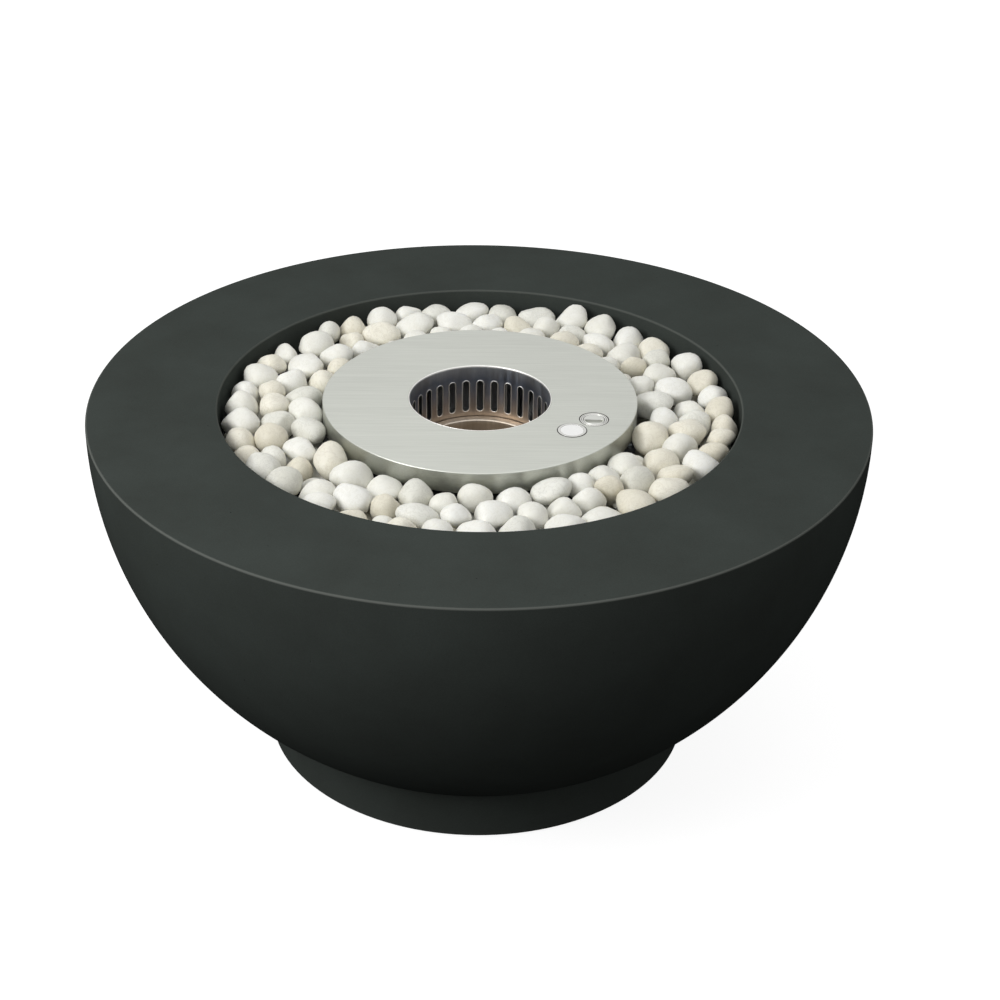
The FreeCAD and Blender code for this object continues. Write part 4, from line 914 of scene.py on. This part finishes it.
def port_cutters():
    """Three rods through the middle that cut the six fuel ports of the well and the cup."""
    cutters = []
    for number in range(PORT_RODS):
        cutter = rod("port_cutter", PORT_RADIUS, -PORT_REACH, PORT_REACH, PORT_STEPS)
        around = Matrix.Rotation(math.radians(90 + 180 * number / PORT_RODS), 4, "Z")
        lay = around @ Matrix.Rotation(math.pi / 2, 4, "Y")
        cutter.data.transform(Matrix.Translation((0, 0, PORT_HEIGHT * MM)) @ lay)
        cutters.append(cutter)
    return cutters


points, faces, painted_highlight = well_sector()
well = mesh_piece("fire_well_tube", points, faces)
well.data.attributes.new("painted_highlight", "FLOAT", "POINT").data.foreach_set("value", painted_highlight)
grown(well, round_tree(), Count=SLOT_COUNT, Weld=WELD, Finish=well_steel)
cut_with(well, port_cutters())
dress(well, well_steel, "burner", "well_stainless", "fire_well")


# Fuel cup: a deep-drawn stainless dish in the foot of the well. Its rolled
# flange ends a shadow's width from the wall, and six ports let fuel in.
CUP_GAUGE = 1.5
CUP_INSIDE = 78.5
CUP_OUTSIDE = CUP_INSIDE + CUP_GAUGE
CUP_FLANGE = 89.7
CUP_TOP = 416.5
CUP_UNDER = WELL_BOTTOM
CUP_STEPS = 192
cup_steel = heat_tinted("burnt_stainless_cup", 0.5, [(384, "#A0978C"), (395, "#AEA293"), (410, "#BCAC98"),
                                                     (418, "#D8CEC0")])
cup = turned("fuel_dish", rounded([
    (0, CUP_UNDER, 0),
    (CUP_OUTSIDE, CUP_UNDER, 3),
    (CUP_OUTSIDE, CUP_TOP - CUP_GAUGE, 1),
    (CUP_FLANGE, CUP_TOP - CUP_GAUGE, 0.4),
    (CUP_FLANGE, CUP_TOP, 0.7),
    (CUP_INSIDE, CUP_TOP, 2),
    (CUP_INSIDE, CUP_UNDER + CUP_GAUGE, 2),
    (0, CUP_UNDER + CUP_GAUGE, 0),
]), CUP_STEPS)
cut_with(cup, port_cutters())
dress(cup, cup_steel, "burner", "well_stainless", "fuel_cup")


# Fuel tank: rolled and welded stainless sheet round the well, with surge plates
# inside it and rubber feet under it.
# Mill-finish sheet: dull silver with a faint rolling grain round the tank.
sheet_steel = grained("mill_finish_stainless", "#B9BABA", "#9C9D9D", 2.5 * MM, 0.02 * MM, (1, 1, 6),
                      Metallic=1.0, Roughness=0.42)
finish_nodes(sheet_steel, "tank_wall", "tank_floor", "tank_baffles", "neck_strainer", "catch_ring",
             "latch_bar")
finish_nodes(rubber, "tank_feet")


# Filler neck: a flanged stainless tube set flush in the plate, turned from bar.
# The cap sits in its counterbore, and a strainer hangs under it.
NECK_BORE = 12
NECK_RADIUS = 13.5
NECK_BOTTOM = 429
FLANGE_RADIUS = 18
FLANGE_UNDER = 483.2
COUNTERBORE = 16
COUNTERBORE_FLOOR = 484.7
SMALL_STEPS = 128
neck_steel = brushed("turned_stainless", "#D2D2CD", "#B2B2AD", 0.26, 0.8 * MM, 40 * MM,
                     painted_shade=upright_wall_shade)
neck = turned("filler_tube", rounded([
    (NECK_BORE, NECK_BOTTOM, 0.3),
    (NECK_RADIUS, NECK_BOTTOM, 0.3),
    (NECK_RADIUS, FLANGE_UNDER, 0.5),
    (FLANGE_RADIUS, FLANGE_UNDER, 0.4),
    (FLANGE_RADIUS, PLATE_TOP, 0.55),
    (COUNTERBORE, PLATE_TOP, 0.4),
    (COUNTERBORE, COUNTERBORE_FLOOR, 0.3),
    (NECK_BORE, COUNTERBORE_FLOOR, 0.4),
]), SMALL_STEPS, FILLER)
dress(neck, neck_steel, "burner", "brushed_stainless", "filler_neck")


# Filler cap: a turned stainless head flush with the plate, its plug sealed by a
# rubber ring, with a finger turn in it that works a latch bar under the neck.
STEM_HOLE = 3.05
PLUG_RADIUS = 11.7
PLUG_BOTTOM = 469
SEAL_GROOVE = 9.3
SEAL_LOW = 476.65
SEAL_HIGH = 479.35
HEAD_RADIUS = 15.7
HEAD_UNDER = 485
CAP_RECESS = 13.7
CAP_RECESS_FLOOR = 486.95
WORN_EDGE = 0.9
cap_steel = brushed("polished_turned_stainless", "#DADAD6", "#C2C2BE", 0.16, 0.7 * MM, 30 * MM, 0.02 * MM,
                    upright_wall_shade)
cap = turned("cap_head", rounded([
    (STEM_HOLE, PLUG_BOTTOM, 0.2),
    (PLUG_RADIUS, PLUG_BOTTOM, 0.5),
    (PLUG_RADIUS, SEAL_LOW, 0.1),
    (SEAL_GROOVE, SEAL_LOW, 0.1),
    (SEAL_GROOVE, SEAL_HIGH, 0.1),
    (PLUG_RADIUS, SEAL_HIGH, 0.1),
    (PLUG_RADIUS, HEAD_UNDER, 0.3),
    (HEAD_RADIUS, HEAD_UNDER, 0.3),
    (HEAD_RADIUS, PLATE_TOP, 0.5),
    (CAP_RECESS, PLATE_TOP, WORN_EDGE),
    (CAP_RECESS, CAP_RECESS_FLOOR, 0.3),
    (STEM_HOLE, CAP_RECESS_FLOOR, 0.2),
]), SMALL_STEPS, FILLER)
dress(cap, cap_steel, "filler_cap", "polished_stainless", "filler_cap")
# Moulded nitrile: black, smooth and slightly oily.
nitrile = grained("moulded_nitrile", "#232323", "#181818", 0.8 * MM, 0.02 * MM, Roughness=0.42)
finish_nodes(nitrile, "cap_seal")

STEM_RADIUS = 3
STEM_BOTTOM = 460.5
CLIP_NECK = 1.5
BAR_UNDER = 465.5
GRIP_RADIUS = 13.4
GRIP_UNDER = 487
# The same turned steel, wiped clean by fingers.
grip_steel = brushed("wiped_turned_stainless", "#D2D3CE", "#B4B5B0", 0.3, 0.8 * MM, 30 * MM)
turn = turned("finger_grip", rounded([
    (0, STEM_BOTTOM, 0),
    (CLIP_NECK, STEM_BOTTOM, 0.2),
    (CLIP_NECK, BAR_UNDER, 0.1),
    (STEM_RADIUS, BAR_UNDER, 0.2),
    (STEM_RADIUS, GRIP_UNDER, 0.2),
    (GRIP_RADIUS, GRIP_UNDER, 0.3),
    (GRIP_RADIUS, PLATE_TOP, WORN_EDGE),
    (0, PLATE_TOP, 0),
]), SMALL_STEPS, FILLER)
# The finger recess is D-shaped: a straight edge just past the middle, and an arc.
RECESS_RADIUS = 12.2
RECESS_EDGE = -1.2
RECESS_FLOOR = 488.8
RECESS_TOP = PLATE_TOP + 2
RECESS_STEPS = 40
start = math.asin(-RECESS_EDGE / RECESS_RADIUS)
turns = [-start - (math.pi - 2 * start) * n / RECESS_STEPS for n in range(RECESS_STEPS + 1)]
outline = [(FILLER[0] + RECESS_RADIUS * math.cos(angle), FILLER[1] + RECESS_RADIUS * math.sin(angle))
           for angle in turns]
count = len(outline)
points = [(x, y, z) for z in (RECESS_FLOOR, RECESS_TOP) for x, y in outline]
faces = [tuple(range(count)), tuple(reversed(range(count, 2 * count)))]
faces += [(n, n + count, (n + 1) % count + count, (n + 1) % count) for n in range(count)]
cut_with(turn, [mesh_piece("recess_cutter", points, faces)])
softened = turn.modifiers.new("softened", "BEVEL")
softened.width = 0.35 * MM
softened.segments = 2
softened.limit_method = "ANGLE"
softened.angle_limit = math.radians(50)
made_plain(turn)
dress(turn, grip_steel, "cap_latch", "brushed_stainless", "finger_turn")
finish_nodes(zinc, "latch_clip")


# Badge: a polished ring set on the plate, with a face of plain white enamel in
# it that is left bare.
RING_INSIDE = 14.5
RING_OUTSIDE = 18
RING_TOP = PLATE_TOP + 0.5
FACE_RADIUS = 14.45
FACE_TOP = PLATE_TOP + 0.25
badge_rim = turned("badge_rim", rounded([
    (RING_INSIDE, PLATE_TOP, 0.1),
    (RING_OUTSIDE, PLATE_TOP, 0.1),
    (RING_OUTSIDE, RING_TOP, 0.28),
    (RING_INSIDE, RING_TOP, 0.2),
]), SMALL_STEPS, BADGE)
dress(badge_rim, cap_steel, "burner", "polished_stainless", "badge_ring")
# Vitreous enamel: milk white, glassy, with the least orange peel.
enamel = grained("white_vitreous_enamel", "#F4F4F2", "#ECECEA", 3 * MM, 0.01 * MM, Roughness=0.22)
badge_face = turned("badge_face", rounded([
    (0, PLATE_TOP, 0),
    (FACE_RADIUS, PLATE_TOP, 0.05),
    (FACE_RADIUS, FACE_TOP, 0.1),
    (0, FACE_TOP, 0),
]), SMALL_STEPS, BADGE)
dress(badge_face, enamel, "burner", "badge_enamel", "badge_face_disc")
